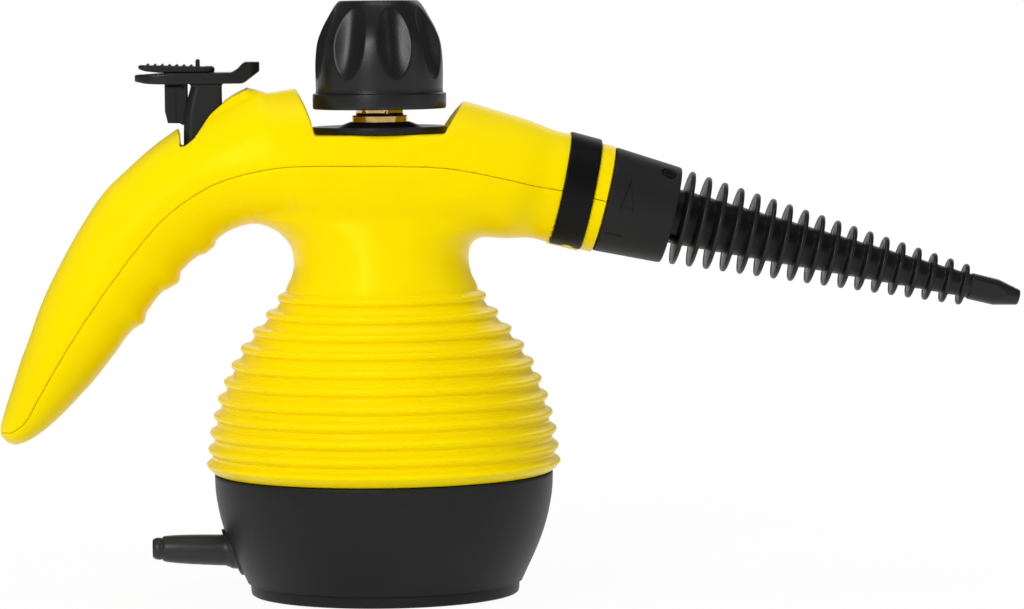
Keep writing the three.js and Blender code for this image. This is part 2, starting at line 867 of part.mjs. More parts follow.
// Smooth values between the rows of a table
function rowCurve(rows) {
  const width = rows[0].length;
  return (share) => {
    const at = share * (rows.length - 1);
    const k = Math.min(Math.floor(at), rows.length - 2);
    const t = at - k;
    const row = (n) => rows[Math.min(Math.max(n, 0), rows.length - 1)];
    const made = [];
    for (let c = 0; c < width; c++) {
      const [a, b, d, e] = [row(k - 1)[c], row(k)[c], row(k + 1)[c], row(k + 2)[c]];
      const slopeB = (d - a) / 2;
      const slopeD = (e - b) / 2;
      const t2 = t * t;
      const t3 = t2 * t;
      made.push(
        (2 * t3 - 3 * t2 + 1) * b + (t3 - 2 * t2 + t) * slopeB + (3 * t2 - 2 * t3) * d + (t3 - t2) * slopeD,
      );
    }
    return made;
  };
}

function neckLoft(inset) {
  const bottom = lastRibZ;
  const height = archGripHeight - lastRibZ;
  const curve = rowCurve(neckShares);
  const rings = [];
  for (let k = 0; k <= neckSteps; k++) {
    const [up, left, right, side] = curve(k / neckSteps);
    const ring = [];
    for (let i = 0; i < neckSides; i++) {
      const turn = (fullTurn * i) / neckSides;
      const reach = neckRadius * (Math.cos(turn) < 0 ? left : right) - inset;
      const y = (neckRadius * side - inset) * Math.sin(turn);
      ring.push(new THREE.Vector3(reach * Math.cos(turn), y, bottom + height * up));
    }
    rings.push(ring);
  }
  return solid(loft(rings));
}

// The last section of the arch is the spout's round root
function archStations() {
  const stations = archShares.map(([upX, upZ, lowX, lowZ, width, belly]) => [
    archReach * upX,
    archTopZ * upZ,
    archReach * lowX,
    archTopZ * lowZ,
    archHalfWidth * width,
    belly,
  ]);
  [-spoutRootLength, 0].forEach((along) => {
    const up = inSpoutFrame(new THREE.BufferGeometry().setFromPoints([new THREE.Vector3(-spoutRadius, 0, along)]));
    const low = inSpoutFrame(new THREE.BufferGeometry().setFromPoints([new THREE.Vector3(spoutRadius, 0, along)]));
    const [a, b] = [up.attributes.position, low.attributes.position];
    stations.push([a.getX(0), a.getZ(0), b.getX(0), b.getZ(0), spoutRadius, spoutBellyShare]);
  });
  return stations;
}

// A step rises slowly from the tail's side and falls away steeply towards the crown
function gripStepAt(share) {
  let sum = 0;
  gripStepShares.forEach((middle) => {
    const off = share - middle;
    const reach = off > 0 ? gripStepFrontShare : gripStepBackShare;
    sum += gripStep * Math.max(0, 1 - Math.abs(off) / reach);
  });
  return sum;
}

// Where the arch has its rings: evenly spread, with more at the finger steps
function archRingShares(fromShare, steps, withGrip) {
  const shares = [];
  for (let k = 0; k <= steps; k++) shares.push(fromShare + ((1 - fromShare) * k) / steps);
  if (!withGrip) return shares;
  const near = gripStepFrontShare;
  const clear = shares.filter((at) => gripStepShares.every((middle) => Math.abs(at - middle) > near));
  gripStepShares.forEach((middle) => {
    clear.push(middle - gripStepBackShare, middle, middle + gripStepFrontShare);
  });
  return clear.sort((a, b) => a - b);
}

function archLoft(inset, fromShare) {
  const curve = rowCurve(archStations());
  const rings = [];
  const outside = inset === 0;
  for (const share of archRingShares(fromShare, outside ? archSteps : archInsideSteps, outside)) {
    const [upX, upZ, lowX, lowZ, halfWidth, belly] = curve(share);
    const upper = new THREE.Vector3(upX, 0, upZ);
    const lower = new THREE.Vector3(lowX, 0, lowZ);
    const across = upper.clone().sub(lower).normalize();
    upper.addScaledVector(across, -inset);
    lower.addScaledVector(across, outside ? -gripStepAt(share) : inset);
    const height = upper.distanceTo(lower);
    const ring = [];
    for (let i = 0; i < archSides; i++) {
      const turn = (fullTurn * i) / archSides;
      const rise = Math.sin(turn);
      const along = belly + (rise > 0 ? 1 - belly : belly) * rise;
      const point = lower.clone().addScaledVector(across, height * along);
      point.y = (halfWidth - inset) * Math.cos(turn);
      ring.push(point);
    }
    rings.push(ring);
  }
  return solid(loft(rings));
}

// Front of the spout: groove for the band, ring and bayonet neck with its lugs
function spoutFront() {
  const body = solid(
    inSpoutFrame(
      turned([
        [0, -spoutRootLength / 2],
        [grooveRadius, -spoutRootLength / 2],
        [grooveRadius, ringStart],
        [spoutRingRadius, ringStart],
        [spoutRingRadius, ringEnd],
        [bayonetRadius, ringEnd],
        [bayonetRadius, bayonetEnd],
        [0, bayonetEnd],
      ]),
    ),
  );
  const lugs = around(lugCount, 0, halfTurn / 2, (x, y, turn) => {
    const lug = block(
      0,
      bayonetRadius + lugHeight,
      -lugSpan / 2,
      lugSpan / 2,
      bayonetEnd - lugLength,
      bayonetEnd,
    );
    return solid(inSpoutFrame(lug.rotateZ(turn)));
  });
  return joined(body, ...lugs);
}

function spoutHollow() {
  const behindWeb = ringStart - spoutWebThickness;
  return joined(
    solid(inSpoutFrame(rod(bayonetBoreRadius, ringStart, bayonetEnd + cutOver, insideSides))),
    solid(inSpoutFrame(rod(spoutRadius - 2 * wall, -2 * spoutRootLength, behindWeb, insideSides))),
    solid(inSpoutFrame(rod(outletRadius + seatGap, -spoutRootLength, bayonetEnd, smallSides))),
  );
}

// Everything above the seam, or below it, as a thick side outline
function seamSide(above) {
  const shift = above ? seatGap / 2 : -seatGap / 2;
  const line = seamShares.map(([x, z]) => [archReach * x, archTopZ * z + shift]);
  const spoutPoint = (along) => {
    const local = new THREE.BufferGeometry().setFromPoints([new THREE.Vector3(-shift, 0, along)]);
    const at = inSpoutFrame(local).attributes.position;
    return [at.getX(0), at.getZ(0)];
  };
  line.push(spoutPoint(0), spoutPoint(bayonetEnd + cutOver));
  const far = above ? archTopZ * 2 : -archTopZ;
  const [first, last] = [line[0], line[line.length - 1]];
  return solid(sideways([[first[0], far], ...line, [last[0], far]], bellRadius * 2));
}

function notchOutline() {
  const height = archTopZ - notchFloorZ;
  return notchShares.map(([x, z]) => [notchPeakX + notchWidth * x, notchFloorZ + height * z]);
}

function leverWell(outer) {
  const grown = slotHalfWidth + slotWall;
  return solid(
    block(
      slotRearX - slotWall,
      slotPocketX + slotWall,
      -grown,
      grown,
      slotBottomZ,
      archTopZ + cutOver,
    ),
  ).intersect(outer);
}

function leverSlot() {
  const tall = block(slotRearX, slotFrontX, -slotHalfWidth, slotHalfWidth, slotBottomZ - cutOver, archTopZ * 2);
  const pocket = block(
    slotRearX,
    slotPocketX,
    -slotHalfWidth,
    slotHalfWidth,
    slotBottomZ - cutOver,
    slotPocketTopZ,
  );
  return joined(solid(tall), solid(pocket));
}

function housing() {
  const outer = joined(bell(), neckLoft(0), archLoft(0, 0), spoutFront());
  const hollow = joined(bellHollow(), neckLoft(wall), archLoft(wall, archHollowShare), spoutHollow());
  const shell = outer.subtract(hollow);

  const seat = solid(
    block(
      valveX - valveLength / 2 - wall,
      valveX + valveLength / 2 + wall,
      -valveWidth / 2 - wall,
      valveWidth / 2 + wall,
      valveBottomZ - seatGap - valveSeatHeight,
      valveBottomZ - seatGap,
    ),
  ).intersect(outer);
  const lower = shell.add(seat).intersect(seamSide(false));

  const wellWallRadius = wellRadius + wall;
  const wellCup = solid(
    rod(wellWallRadius, wellFloorZ - wellFloorThickness, archTopZ + cutOver, bodySides),
  ).intersect(outer);
  const wellCut = solid(
    turned([
      [0, wellFloorZ],
      [wellRadius - wellDraft, wellFloorZ],
      [wellRadius, archTopZ],
      [wellRadius, archTopZ + cutOver],
      [0, archTopZ + cutOver],
    ]),
  );
  const trayHole = solid(
    rod(trayBossRadius + seatGap, wellFloorZ - cutOver, wellFloorZ + cutOver, insideSides),
  );
  const pinHole = solid(crossRod(pivotRadius + seatGap, pivotX, pivotZ, pivotHalfLength + seatGap, tinySides));
  const top = joined(shell, wellCup, leverWell(outer))
    .subtract(wellCut)
    .subtract(trayHole)
    .subtract(solid(sideways(notchOutline(), archHalfWidth)))
    .subtract(leverSlot())
    .subtract(pinHole)
    .intersect(seamSide(true));
  return { lower, top };
}

function largest(made) {
  return made.decompose().reduce((best, next) => (next.volume() > best.volume() ? next : best));
}

function fillerTray() {
  const bossBottom = trayBottomZ - trayBossDepth;
  return turnedRing(
    [
      [neckTubeRadius + seatGap, bossBottom],
      [trayBossRadius, bossBottom],
      [trayBossRadius, trayBottomZ],
      [trayRadius - trayRimHeight / 2, trayBottomZ],
      [trayRadius, trayTopZ],
      [trayConeRadius, trayTopZ + seatGap],
      [neckHexWidth / 2, neckHexZ - seatGap],
      [neckTubeRadius + seatGap, neckHexZ - seatGap],
    ],
    bodySides,
  );
}

function fillerNeck() {
  const footZ = boilerTopZ + seatGap;
  const spigotRadius = neckTubeRadius - wall / 2;
  const tube = solid(
    turnedRing([
      [neckBoreRadius, footZ - boilerWall],
      [spigotRadius, footZ - boilerWall],
      [spigotRadius, footZ],
      [neckFootRadius, footZ],
      [neckFootRadius, footZ + neckFootHeight],
      [neckTubeRadius, footZ + neckFootHeight],
      [neckTubeRadius, neckHexTopZ],
      [neckBoreRadius, neckHexTopZ],
    ], insideSides),
  );
  const hex = solid(hexagon(neckHexWidth, neckHexZ, neckHexTopZ)).subtract(
    solid(rod(neckBoreRadius, neckHexZ - cutOver, neckHexTopZ + cutOver, insideSides)),
  );
  const sealFloor = neckHexTopZ - neckSealThickness - seatGap;
  const counterbore = solid(rod(neckSealRadius + seatGap, sealFloor, neckHexTopZ + cutOver, insideSides));
  return tube.add(hex).subtract(counterbore);
}

// Flat seal in the mouth of the filler neck, pressed by the cap's hexagon
function neckSeal() {
  return pipeRing(
    plugThreadRadius + seatGap,
    neckSealRadius,
    neckHexTopZ - neckSealThickness,
    neckHexTopZ,
    insideSides,
  );
}

function boilerLower() {
  return turned(
    [
      [0, boilerFloorZ],
      [boilerRadius - boilerWall, boilerFloorZ],
      [boilerRadius, boilerFloorZ + boilerWall],
      [boilerRadius, boilerJointZ - boilerFlangeThickness],
      [boilerFlangeRadius, boilerJointZ - boilerFlangeThickness],
      [boilerFlangeRadius, boilerJointZ],
      [boilerRadius - boilerWall, boilerJointZ],
      [boilerRadius - boilerWall, boilerFloorZ + 2 * boilerWall],
      [0, boilerFloorZ + 2 * boilerWall],
    ],
    insideSides,
  );
}

function boilerUpper() {
  const low = boilerJointZ + gasketThickness + 2 * seatGap;
  const height = boilerTopZ - low;
  const outside = boilerDomeShares.map(([up, out]) => [boilerRadius * out, low + height * up]);
  const inside = outside.map(([r, z]) => [r - boilerWall, z - boilerWall]).reverse();
  const holeRadius = neckTubeRadius - wall / 2 + seatGap;
  const shell = solid(
    turnedRing(
      [
        [boilerRadius - boilerWall, low],
        [boilerFlangeRadius, low],
        [boilerFlangeRadius, low + boilerFlangeThickness],
        [boilerRadius, low + boilerFlangeThickness],
        ...outside,
        [holeRadius, boilerTopZ],
        [holeRadius, boilerTopZ - boilerWall],
        ...inside,
      ],
      insideSides,
    ),
  );
  const portZ = boilerTopZ + portRise;
  const port = solid(rod(portRadius, boilerTopZ - 3 * boilerWall, portZ, tinySides).translate(-portOffset, 0, 0));
  const drilling = solid(
    rod(pipeRadius / 2, boilerTopZ - 5 * boilerWall, portZ + cutOver, pipeSides).translate(-portOffset, 0, 0),
  );
  return shell.add(port).subtract(drilling);
}

function heater() {
  const points = [];
  const z = boilerFloorZ - seatGap - heaterRadius;
  for (let i = 0; i <= heaterSteps; i++) {
    const turn = halfTurn + fullTurn * heaterTurnShare * (i / heaterSteps - 1 / 2);
    points.push(new THREE.Vector3(heaterCircle * Math.cos(turn), heaterCircle * Math.sin(turn), z));
  }
  return tubeAlong(points, heaterRadius, heaterSteps);
}

function valveBody() {
  const body = solid(
    block(
      valveX - valveLength / 2,
      valveX + valveLength / 2,
      -valveWidth / 2,
      valveWidth / 2,
      valveBottomZ,
      valveTopZ,
    ),
  );
  const bore = solid(
    rod(stemRadius + seatGap, valveTopZ - stemBoreDepth, valveTopZ + cutOver, tinySides).translate(valveX, 0, 0),
  );
  return body.subtract(bore);
}

function valveStem() {
  const top = valveTopZ + stemReach - seatGap;
  return turned(
    [
      [0, valveTopZ - stemTail],
      [stemRadius, valveTopZ - stemTail],
      [stemRadius, top - stemCollarThickness * 2],
      [stemCollarRadius, top - stemCollarThickness * 2],
      [stemCollarRadius, top - stemCollarThickness],
      [stemRadius, top - stemCollarThickness],
      [stemRadius * stemTipShare, top],
      [0, top],
    ],
    tinySides,
  ).translate(valveX, 0, 0);
}

function leverOutline() {
  return leverShares.map(([x, z]) => [leverRearX + leverLength * x, leverBottomZ + leverRise * z]);
}

// Lever: thumb plate, hollow post with a forked arm to the pivot, and a slot for the lock's tongue
function lever() {
  const plate = solid(sideways(leverOutline(), leverHalfWidth));
  const corners = solid(
    rod(leverLength / 2, leverBottomZ - leverRise, leverBottomZ + 2 * leverRise, bodySides)
      .scale(leverPlanShares[0], (leverPlanShares[1] * leverHalfWidth) / (leverLength / 2), 1)
      .translate(leverRearX + leverLength / 2, 0, 0),
  );
  const bendZ = postBottomZ + (leverBottomZ - postBottomZ) / 2;
  const post = solid(
    sideways(
      [
        [postRearX, postBottomZ],
        [postFrontX, postBottomZ],
        [postFrontX, leverBottomZ + leverRise / 4],
        [postRearTopX, leverBottomZ + leverRise / 4],
        [postRearX, bendZ],
      ],
      postHalfWidth,
    ),
  );
  const arm = solid(
    sideways(
      [
        [postFrontX - postWeb, pivotZ - pivotBossRadius],
        [pivotX, pivotZ - pivotBossRadius],
        [pivotX, pivotZ + pivotBossRadius],
        [postFrontX - postWeb, pivotZ + pivotBossRadius],
      ],
      postHalfWidth - postWall,
    ),
  );
  const knuckle = solid(crossRod(pivotBossRadius, pivotX, pivotZ, postHalfWidth, smallSides));
  const hollowHalf = postHalfWidth - postWall;
  const hollow = solid(
    block(
      postRearX - cutOver,
      postFrontX - postWeb,
      -hollowHalf,
      hollowHalf,
      postBottomZ + postWeb,
      leverBottomZ - seatGap,
    ),
  );
  const slot = solid(
    block(
      tongueRearX - runGap,
      tongueFrontX + lockTravel + runGap,
      -tongueHalfWidth - runGap,
      tongueHalfWidth + runGap,
      leverBottomZ - cutOver,
      leverBottomZ + leverRise,
    ),
  );
  const bore = solid(crossRod(pivotRadius + seatGap, pivotX, pivotZ, leverLength, tinySides));
  return joined(plate.intersect(corners), post.subtract(hollow), arm, knuckle).subtract(slot).subtract(bore);
}

function lockSlider() {
  const bottom = leverTopZ + lockBottomRise;
  const outline = lockShares.map(([x, z]) => [lockRearX + lockLength * x, bottom + lockHeight * z]);
  const top = solid(sideways(outline, lockHalfWidth));
  const pieces = [top];
  const span = lockNubX - lockRearX - 4 * lockRibWidth;
  for (let i = 0; i < lockRibCount; i++) {
    const x = lockRearX + 2 * lockRibWidth + (span * i) / (lockRibCount - 1);
    const rib = block(
      x - lockRibWidth / 2,
      x + lockRibWidth / 2,
      -lockHalfWidth + lockRibWidth,
      lockHalfWidth - lockRibWidth,
      bottom + lockHeight / 2,
      bottom + lockHeight + lockRibHeight - (lockHeight * lockSlopeShare * (x - lockRearX)) / lockLength,
    );
    pieces.push(solid(rib));
  }
  const nub = block(
    lockNubX - lockNubWidth / 2,
    lockNubX + lockNubWidth / 2,
    -lockHalfWidth / 2,
    lockHalfWidth / 2,
    bottom + lockHeight / 2,
    bottom + lockHeight / 2 + lockNubHeight,
  );
  const tongue = sideways(
    [
      [tongueRearX + tongueChamfer, tongueBottomZ],
      [tongueFrontX, tongueBottomZ],
      [tongueFrontX, bottom + lockHeight / 3],
      [tongueRearX, bottom + lockHeight / 3],
      [tongueRearX, tongueBottomZ + 3 * tongueChamfer],
    ],
    tongueHalfWidth,
  );
  return joined(...pieces, solid(nub), solid(tongue));
}

function capOutline() {
  return capShares.map(([up, out]) => [capRadius * out, capBottomZ + capHeight * up]);
}

function capRetainerZ() {
  return capBottomZ + retainerRise;
}

function capShell() {
  const retainerTop = capRetainerZ() + retainerThickness;
  const seatRadius = capRadius * capBodyShare - capWall;
  const ledgeRadius = seatRadius - capWall;
  const roofZ = capBottomZ + capHeight - capTopWall;
  const shell = solid(
    turned(
      [
        ...capOutline(),
        [0, capBottomZ + capHeight],
        [0, roofZ],
        [capRadius * capRoofRadiusShare, roofZ],
        [ledgeRadius - capWall, capBottomZ + capHeight * capInsideShoulderShare],
        [ledgeRadius, capBottomZ + capHeight * capInsideBendShare],
        [ledgeRadius, retainerTop + seatGap],
        [seatRadius, retainerTop + seatGap],
        [seatRadius, capBottomZ],
        [capRadius, capBottomZ],
      ],
      bodySides,
    ),
  );
  const middleZ = capBottomZ + capHeight * fluteMiddleShare;
  const centre = capRadius * capBodyShare - fluteDepth + fluteRadialSize / 2;
  const start = THREE.MathUtils.degToRad(fluteTurnDegrees - 90);
  const flutes = around(fluteCount, centre, start, (x, y, turn) => {
    const flute = new THREE.SphereGeometry(0.5, fluteSides, fluteRings);
    flute.rotateX(halfTurn / 2);
    flute.scale(fluteRadialSize, fluteWidth, fluteHeight);
    flute.rotateZ(turn);
    return solid(flute.translate(x, y, middleZ));
  });
  return flutes.reduce((left, flute) => left.subtract(flute), shell);
}

function capRetainer() {
  const seatRadius = capRadius * capBodyShare - capWall - seatGap;
  return pipeRing(
    retainerBoreRadius,
    seatRadius,
    capRetainerZ(),
    capRetainerZ() + retainerThickness,
    insideSides,
  );
}

function capPlug() {
  const hexTop = plugHexZ + plugHexHeight;
  const headBottom = capRetainerZ() + retainerThickness + seatGap;
  const headTop = headBottom + plugHeadHeight;
  const threadEnd = plugHexZ - plugThreadLength;
  const studEnd = threadEnd - capGasketThickness - 2 * seatGap;
  const body = solid(
    turned(
      [
        [0, studEnd],
        [plugStudRadius, studEnd],
        [plugStudRadius, threadEnd],
        [plugThreadRadius, threadEnd],
        [plugThreadRadius, hexTop - seatGap],
        [plugShankRadius, hexTop - seatGap],
        [plugShankRadius, headBottom],
        [plugHeadRadius, headBottom],
        [plugHeadRadius, headTop],
        [plugNoseRadius, headTop],
        [plugNoseRadius, headTop + plugNoseHeight],
        [0, headTop + plugNoseHeight],
      ],
      insideSides,
    ),
  );
  return body.add(solid(hexagon(plugHexWidth, plugHexZ, hexTop)));
}

function capGasket() {
  const top = plugHexZ - plugThreadLength - seatGap;
  return pipeRing(plugStudRadius + seatGap, plugThreadRadius, top - capGasketThickness, top);
}

function capSpring() {
  const low = capRetainerZ() + retainerThickness + seatGap + plugHeadHeight + seatGap;
  const high = capBottomZ + capHeight - capTopWall - seatGap;
  return coil(capSpringRadius, springWire, low, high, capSpringTurns);
}

// Band round the spout, with a small round hole underneath
function nozzleBand() {
  const outer = spoutRadius + bandProud;
  const ring = solid(pipeRing(outer - bandThickness, outer, seatGap, bandWidth - seatGap, bodySides));
  const hole = rod(bandHoleRadius, grooveRadius, spoutRadius + cutOver, tinySides);
  hole.rotateY(halfTurn / 2);
  hole.translate(0, 0, bandWidth * bandHoleShare);
  return ring.subtract(solid(hole));
}

function steamOutlet() {
  const webBack = ringStart - spoutWebThickness;
  return turnedRing(
    [
      [outletBore, -outletTail],
      [outletRadius, -outletTail],
      [outletRadius, webBack - seatGap - outletFlangeThickness],
      [outletFlangeRadius, webBack - seatGap - outletFlangeThickness],
      [outletFlangeRadius, webBack - seatGap],
      [outletRadius, webBack - seatGap],
      [outletRadius, bayonetEnd],
      [outletBore, bayonetEnd],
    ],
    smallSides,
  );
}

function connectorRadiusAt(along) {
  const share = (along - connectorStart) / connectorLength;
  return connectorRootRadius + (connectorEndRadius - connectorRootRadius) * share;
}

function connectorScrewSpot() {
  const along = connectorEnd - connectorScrewInset;
  const turn = -halfTurn / 2 - THREE.MathUtils.degToRad(connectorScrewTurnDegrees);
  return { along, turn, radius: connectorRadiusAt(along) };
}

// Puts a piece that stands on the axis onto the connector's side, at the screw
function onConnectorSide(geometry) {
  const spot = connectorScrewSpot();
  return geometry.rotateY(halfTurn / 2).rotateZ(spot.turn).translate(0, 0, spot.along);
}

function connector() {
  const sleeve = solid(
    turnedRing(
      [
        [connectorRootRadius - connectorChamfer / 3, connectorStart],
        [connectorRootRadius, connectorStart + connectorChamfer],
        [connectorEndRadius, connectorEnd - connectorChamfer],
        [connectorEndRadius - connectorChamfer, connectorEnd],
        [hoseCoreStart + seatGap, connectorEnd],
        [hoseCoreStart + seatGap, connectorCavityEnd],
        [connectorCavityRadius, connectorCavityEnd],
        [connectorCavityRadius, connectorWebEnd],
        [outletRadius + seatGap, connectorWebEnd],
        [outletRadius + seatGap, connectorWebStart],
        [connectorBoreRadius, connectorWebStart],
        [connectorBoreRadius, connectorStart],
      ],
      bodySides,
    ),
  );
  const { radius } = connectorScrewSpot();
  const boss = solid(
    onConnectorSide(rod(connectorBossRadius, connectorCavityRadius, radius + connectorBossRise, smallSides)),
  );
  const hole = joined(
    solid(onConnectorSide(rod(connectorScrewRadius + seatGap, hoseFlangeRadius, radius + cutOver, tinySides))),
    solid(
      onConnectorSide(
        rod(
          connectorScrewHeadRadius + seatGap,
          radius + connectorBossRise - connectorScrewHeadHeight - seatGap,
          radius + cutOver,
          smallSides,
        ),
      ),
    ),
  );
  return sleeve.add(boss).subtract(hole);
}

function connectorScrew() {
  const { radius } = connectorScrewSpot();
  const headTop = radius + connectorBossRise;
  const headLow = headTop - connectorScrewHeadHeight;
  const low = connectorCavityRadius;
  return onConnectorSide(
    turned(
      [
        [0, low],
        [connectorScrewRadius, low],
        [connectorScrewRadius, headLow],
        [connectorScrewHeadRadius, headLow],
        [connectorScrewHeadRadius, headTop],
        [0, headTop],
      ],
      tinySides,
    ),
  );
}

function connectorSeal() {
  const high = connectorWebStart - seatGap;
  return pipeRing(outletRadius + seatGap, sealRadius, high - sealThickness, high, smallSides);
}

// Ribs and core of the hose, thinner towards the tip
function hoseCover() {
  const flangeEnd = connectorCavityEnd - seatGap;
  const flangeStart = flangeEnd - hoseFlangeThickness;
  const profile = [
    [hoseBoreStart, flangeStart],
    [hoseFlangeRadius, flangeStart],
    [hoseFlangeRadius, flangeEnd],
    [hoseCoreStart, flangeEnd],
  ];
  const lengthwise = (share) => hoseRibStart + (hoseRibEnd - hoseRibStart) * share;
  for (let i = 0; i < hoseRibCount; i++) {
    const share = i / (hoseRibCount - 1);
    const middle = lengthwise(share);
    const rib = hoseFirstRibRadius + (hoseLastRibRadius - hoseFirstRibRadius) * share;
    const core = hoseCoreStart + (hoseCoreEnd - hoseCoreStart) * share;
    profile.push([core, middle - hoseRibThickness]);
    profile.push([rib, middle - hoseRibThickness / 2]);
    profile.push([rib, middle + hoseRibThickness / 2]);
    profile.push([core, middle + hoseRibThickness]);
  }
  profile.push([hoseCoreEnd, hoseCoverEnd], [hoseBoreEnd, hoseCoverEnd]);
  for (let i = hoseBoreRings - 1; i > 0; i--) {
    const share = i / hoseBoreRings;
    profile.push([hoseBoreStart + (hoseBoreEnd - hoseBoreStart) * share, lengthwise(share)]);
  }
  return turnedRing(profile, hoseSides);
}

function innerTube() {
  const start = connectorWebEnd + seatGap;
  const end = tipStart + tipSocketDepth - seatGap;
  return turnedRing(
    [
      [tubeBore, start],
      [tubeCollarRadius, start],
      [tubeCollarRadius, start + tubeCollarThickness],
      [tubeRadius, start + tubeCollarThickness],
      [tubeRadius, end],
      [tubeBore, end],
    ],
    tinySides,
  );
}

function hoseTip() {
  const end = tipStart + tipLength;
  const body = solid(
    turnedRing(
      [
        [tubeRadius + seatGap, tipStart],
        [tipRootRadius, tipStart],
        [tipRootRadius, tipStart + tipLength * tipTaperShare],
        [tipEndRadius, end],
        [tipBore, end],
        [tipBore, tipStart + tipSocketDepth],
        [tubeRadius + seatGap, tipStart + tipSocketDepth],
      ],
      tinySides,
    ),
  );
  const flatReach = tipRootRadius * tipFlatShare;
  const flats = around(2, 0, halfTurn / 2, (x, y, turn) =>
    solid(
      block(
        flatReach,
        flatReach + cutOver,
        -tipRootRadius,
        tipRootRadius,
        tipStart + tipLength * tipFlatStartShare,
        tipStart + tipLength * tipFlatEndShare,
      ).rotateZ(turn),
    ),
  );
  return flats.reduce((left, flat) => left.subtract(flat), body);
}

function steamPipeIn() {
  const z = valveBottomZ + pipeLift;
  const foot = boilerTopZ + portRise + seatGap;
  const end = valveX + valveLength / 2 + seatGap;
  const points = pipeInShares.map(
    ([along, up]) => new THREE.Vector3(-portOffset + (end + portOffset) * along, 0, foot + (z - foot) * up),
  );
  return tubeAlong(points, pipeRadius, pipeInSteps);
}

// Leaves the valve's side, runs past the filler neck and bends down into the outlet
function steamPipeOut() {
  const start = new THREE.Vector3(valveX, valveWidth / 2 + seatGap, valveBottomZ + pipeLift);
  const back = outletTail + seatGap;
  const end = new THREE.Vector3(-Math.cos(spoutTilt), 0, Math.sin(spoutTilt)).multiplyScalar(back);
  end.add(new THREE.Vector3(spoutX, 0, spoutZ));
  const points = pipeOutShares.map(
    ([along, out, up]) =>
      new THREE.Vector3(
        start.x + (end.x - start.x) * along,
        start.y + (pipeAside - start.y) * out,
        start.z + (end.z - start.z) * up,
      ),
  );
  const straight = new THREE.Vector3(-Math.cos(spoutTilt), 0, Math.sin(spoutTilt));
  points.push(end.clone().addScaledVector(straight, 2 * pipeRadius), end);
  return tubeAlong(points, pipeRadius, pipeOutSteps);
}

// Base and what it holds
place('base_shell', baseShell(), black);
place('base_plate', basePlate(), black);
screwPlaces((x, y, turn) => ({ x, y, turn })).forEach(({ x, y }, i) => {
  place('base_screw_' + (i + 1), baseScrew(), steel).position.set(x, y, 0);
});
place('cord_sleeve', cordSleeve(), rubber);
const terminalX = -terminalOffset;
place(
  'terminal_block',
  block(
    terminalX - terminalLength / 2,
    terminalX + terminalLength / 2,
    -terminalWidth / 2,
    terminalWidth / 2,
    basePlateThickness + seatGap,
    basePlateThickness + seatGap + terminalHeight,
  ),
  ceramic,
);

// Yellow housing
const { lower, top } = housing();
place('lower_housing', largest(lower), yellow);
place('top_cover', largest(top), yellow);

// Boiler and steam path
place('boiler_lower', boilerLower(), castMetal);
place(
  'boiler_gasket',
  pipeRing(
    boilerRadius - boilerWall,
    boilerFlangeRadius,
    boilerJointZ + seatGap,
    boilerJointZ + seatGap + gasketThickness,
    insideSides,
  ),
  silicone,
);
place('boiler_upper', boilerUpper(), castMetal);
place('heating_element', heater(), steel);
place(
  'thermostat',
  rod(thermostatRadius, boilerFloorZ - seatGap - thermostatHeight, boilerFloorZ - seatGap),
  ceramic,
);
const fuseX = boilerRadius + seatGap + fuseThickness / 2;
place(
  'thermal_fuse',
  block(
    fuseX - fuseThickness / 2,
    fuseX + fuseThickness / 2,
    -fuseSize / 2,
    fuseSize / 2,
    boilerJointZ - boilerFlangeThickness - seatGap - fuseSize,
    boilerJointZ - boilerFlangeThickness - seatGap,
  ),
  ceramic,
);
place('filler_neck', fillerNeck(), brass);
place('filler_tray', fillerTray(), deepBlack);
place('steam_valve_body', valveBody(), brass);
place('steam_pipe_in', steamPipeIn(), steel);
place('steam_pipe_out', steamPipeOut(), steel);
place('steam_outlet', steamOutlet(), brass, spoutGroup);
place('nozzle_band', nozzleBand(), deepBlack, spoutGroup);

// Thumb lever, lock and valve stem
place('trigger_lever', lever(), black);
place('trigger_pin', crossRod(pivotRadius, pivotX, pivotZ, pivotHalfLength, tinySides), steel);
place('lock_slider', lockSlider(), black);
place('valve_stem', valveStem(), steel);
const springTop = valveTopZ + stemReach - seatGap - 2 * stemCollarThickness - seatGap;
place(
  'valve_spring',
  coil(valveSpringRadius, springWire, valveTopZ + seatGap, springTop, valveSpringTurns),
  steel,
).position.x = valveX;

// Safety cap
place('neck_seal', neckSeal(), silicone);
place('cap_gasket', capGasket(), silicone);
place('cap_plug', capPlug(), brass);
place('cap_spring', capSpring(), steel);
place('cap_retainer', capRetainer(), deepBlack);
place('cap_shell', capShell(), black);

// Hose
place('connector_seal', connectorSeal(), silicone, spoutGroup);
place('hose_connector', connector(), black, spoutGroup);
place('connector_screw', connectorScrew(), steel, spoutGroup);
place('hose_cover', hoseCover(), rubber, spoutGroup);
place('hose_inner_tube', innerTube(), silicone, spoutGroup);
place('hose_tip', hoseTip(), black, spoutGroup);

export default cleaner;
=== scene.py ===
import json
import math
import bmesh
import bpy
import numpy as np
from mathutils import Matrix, Vector


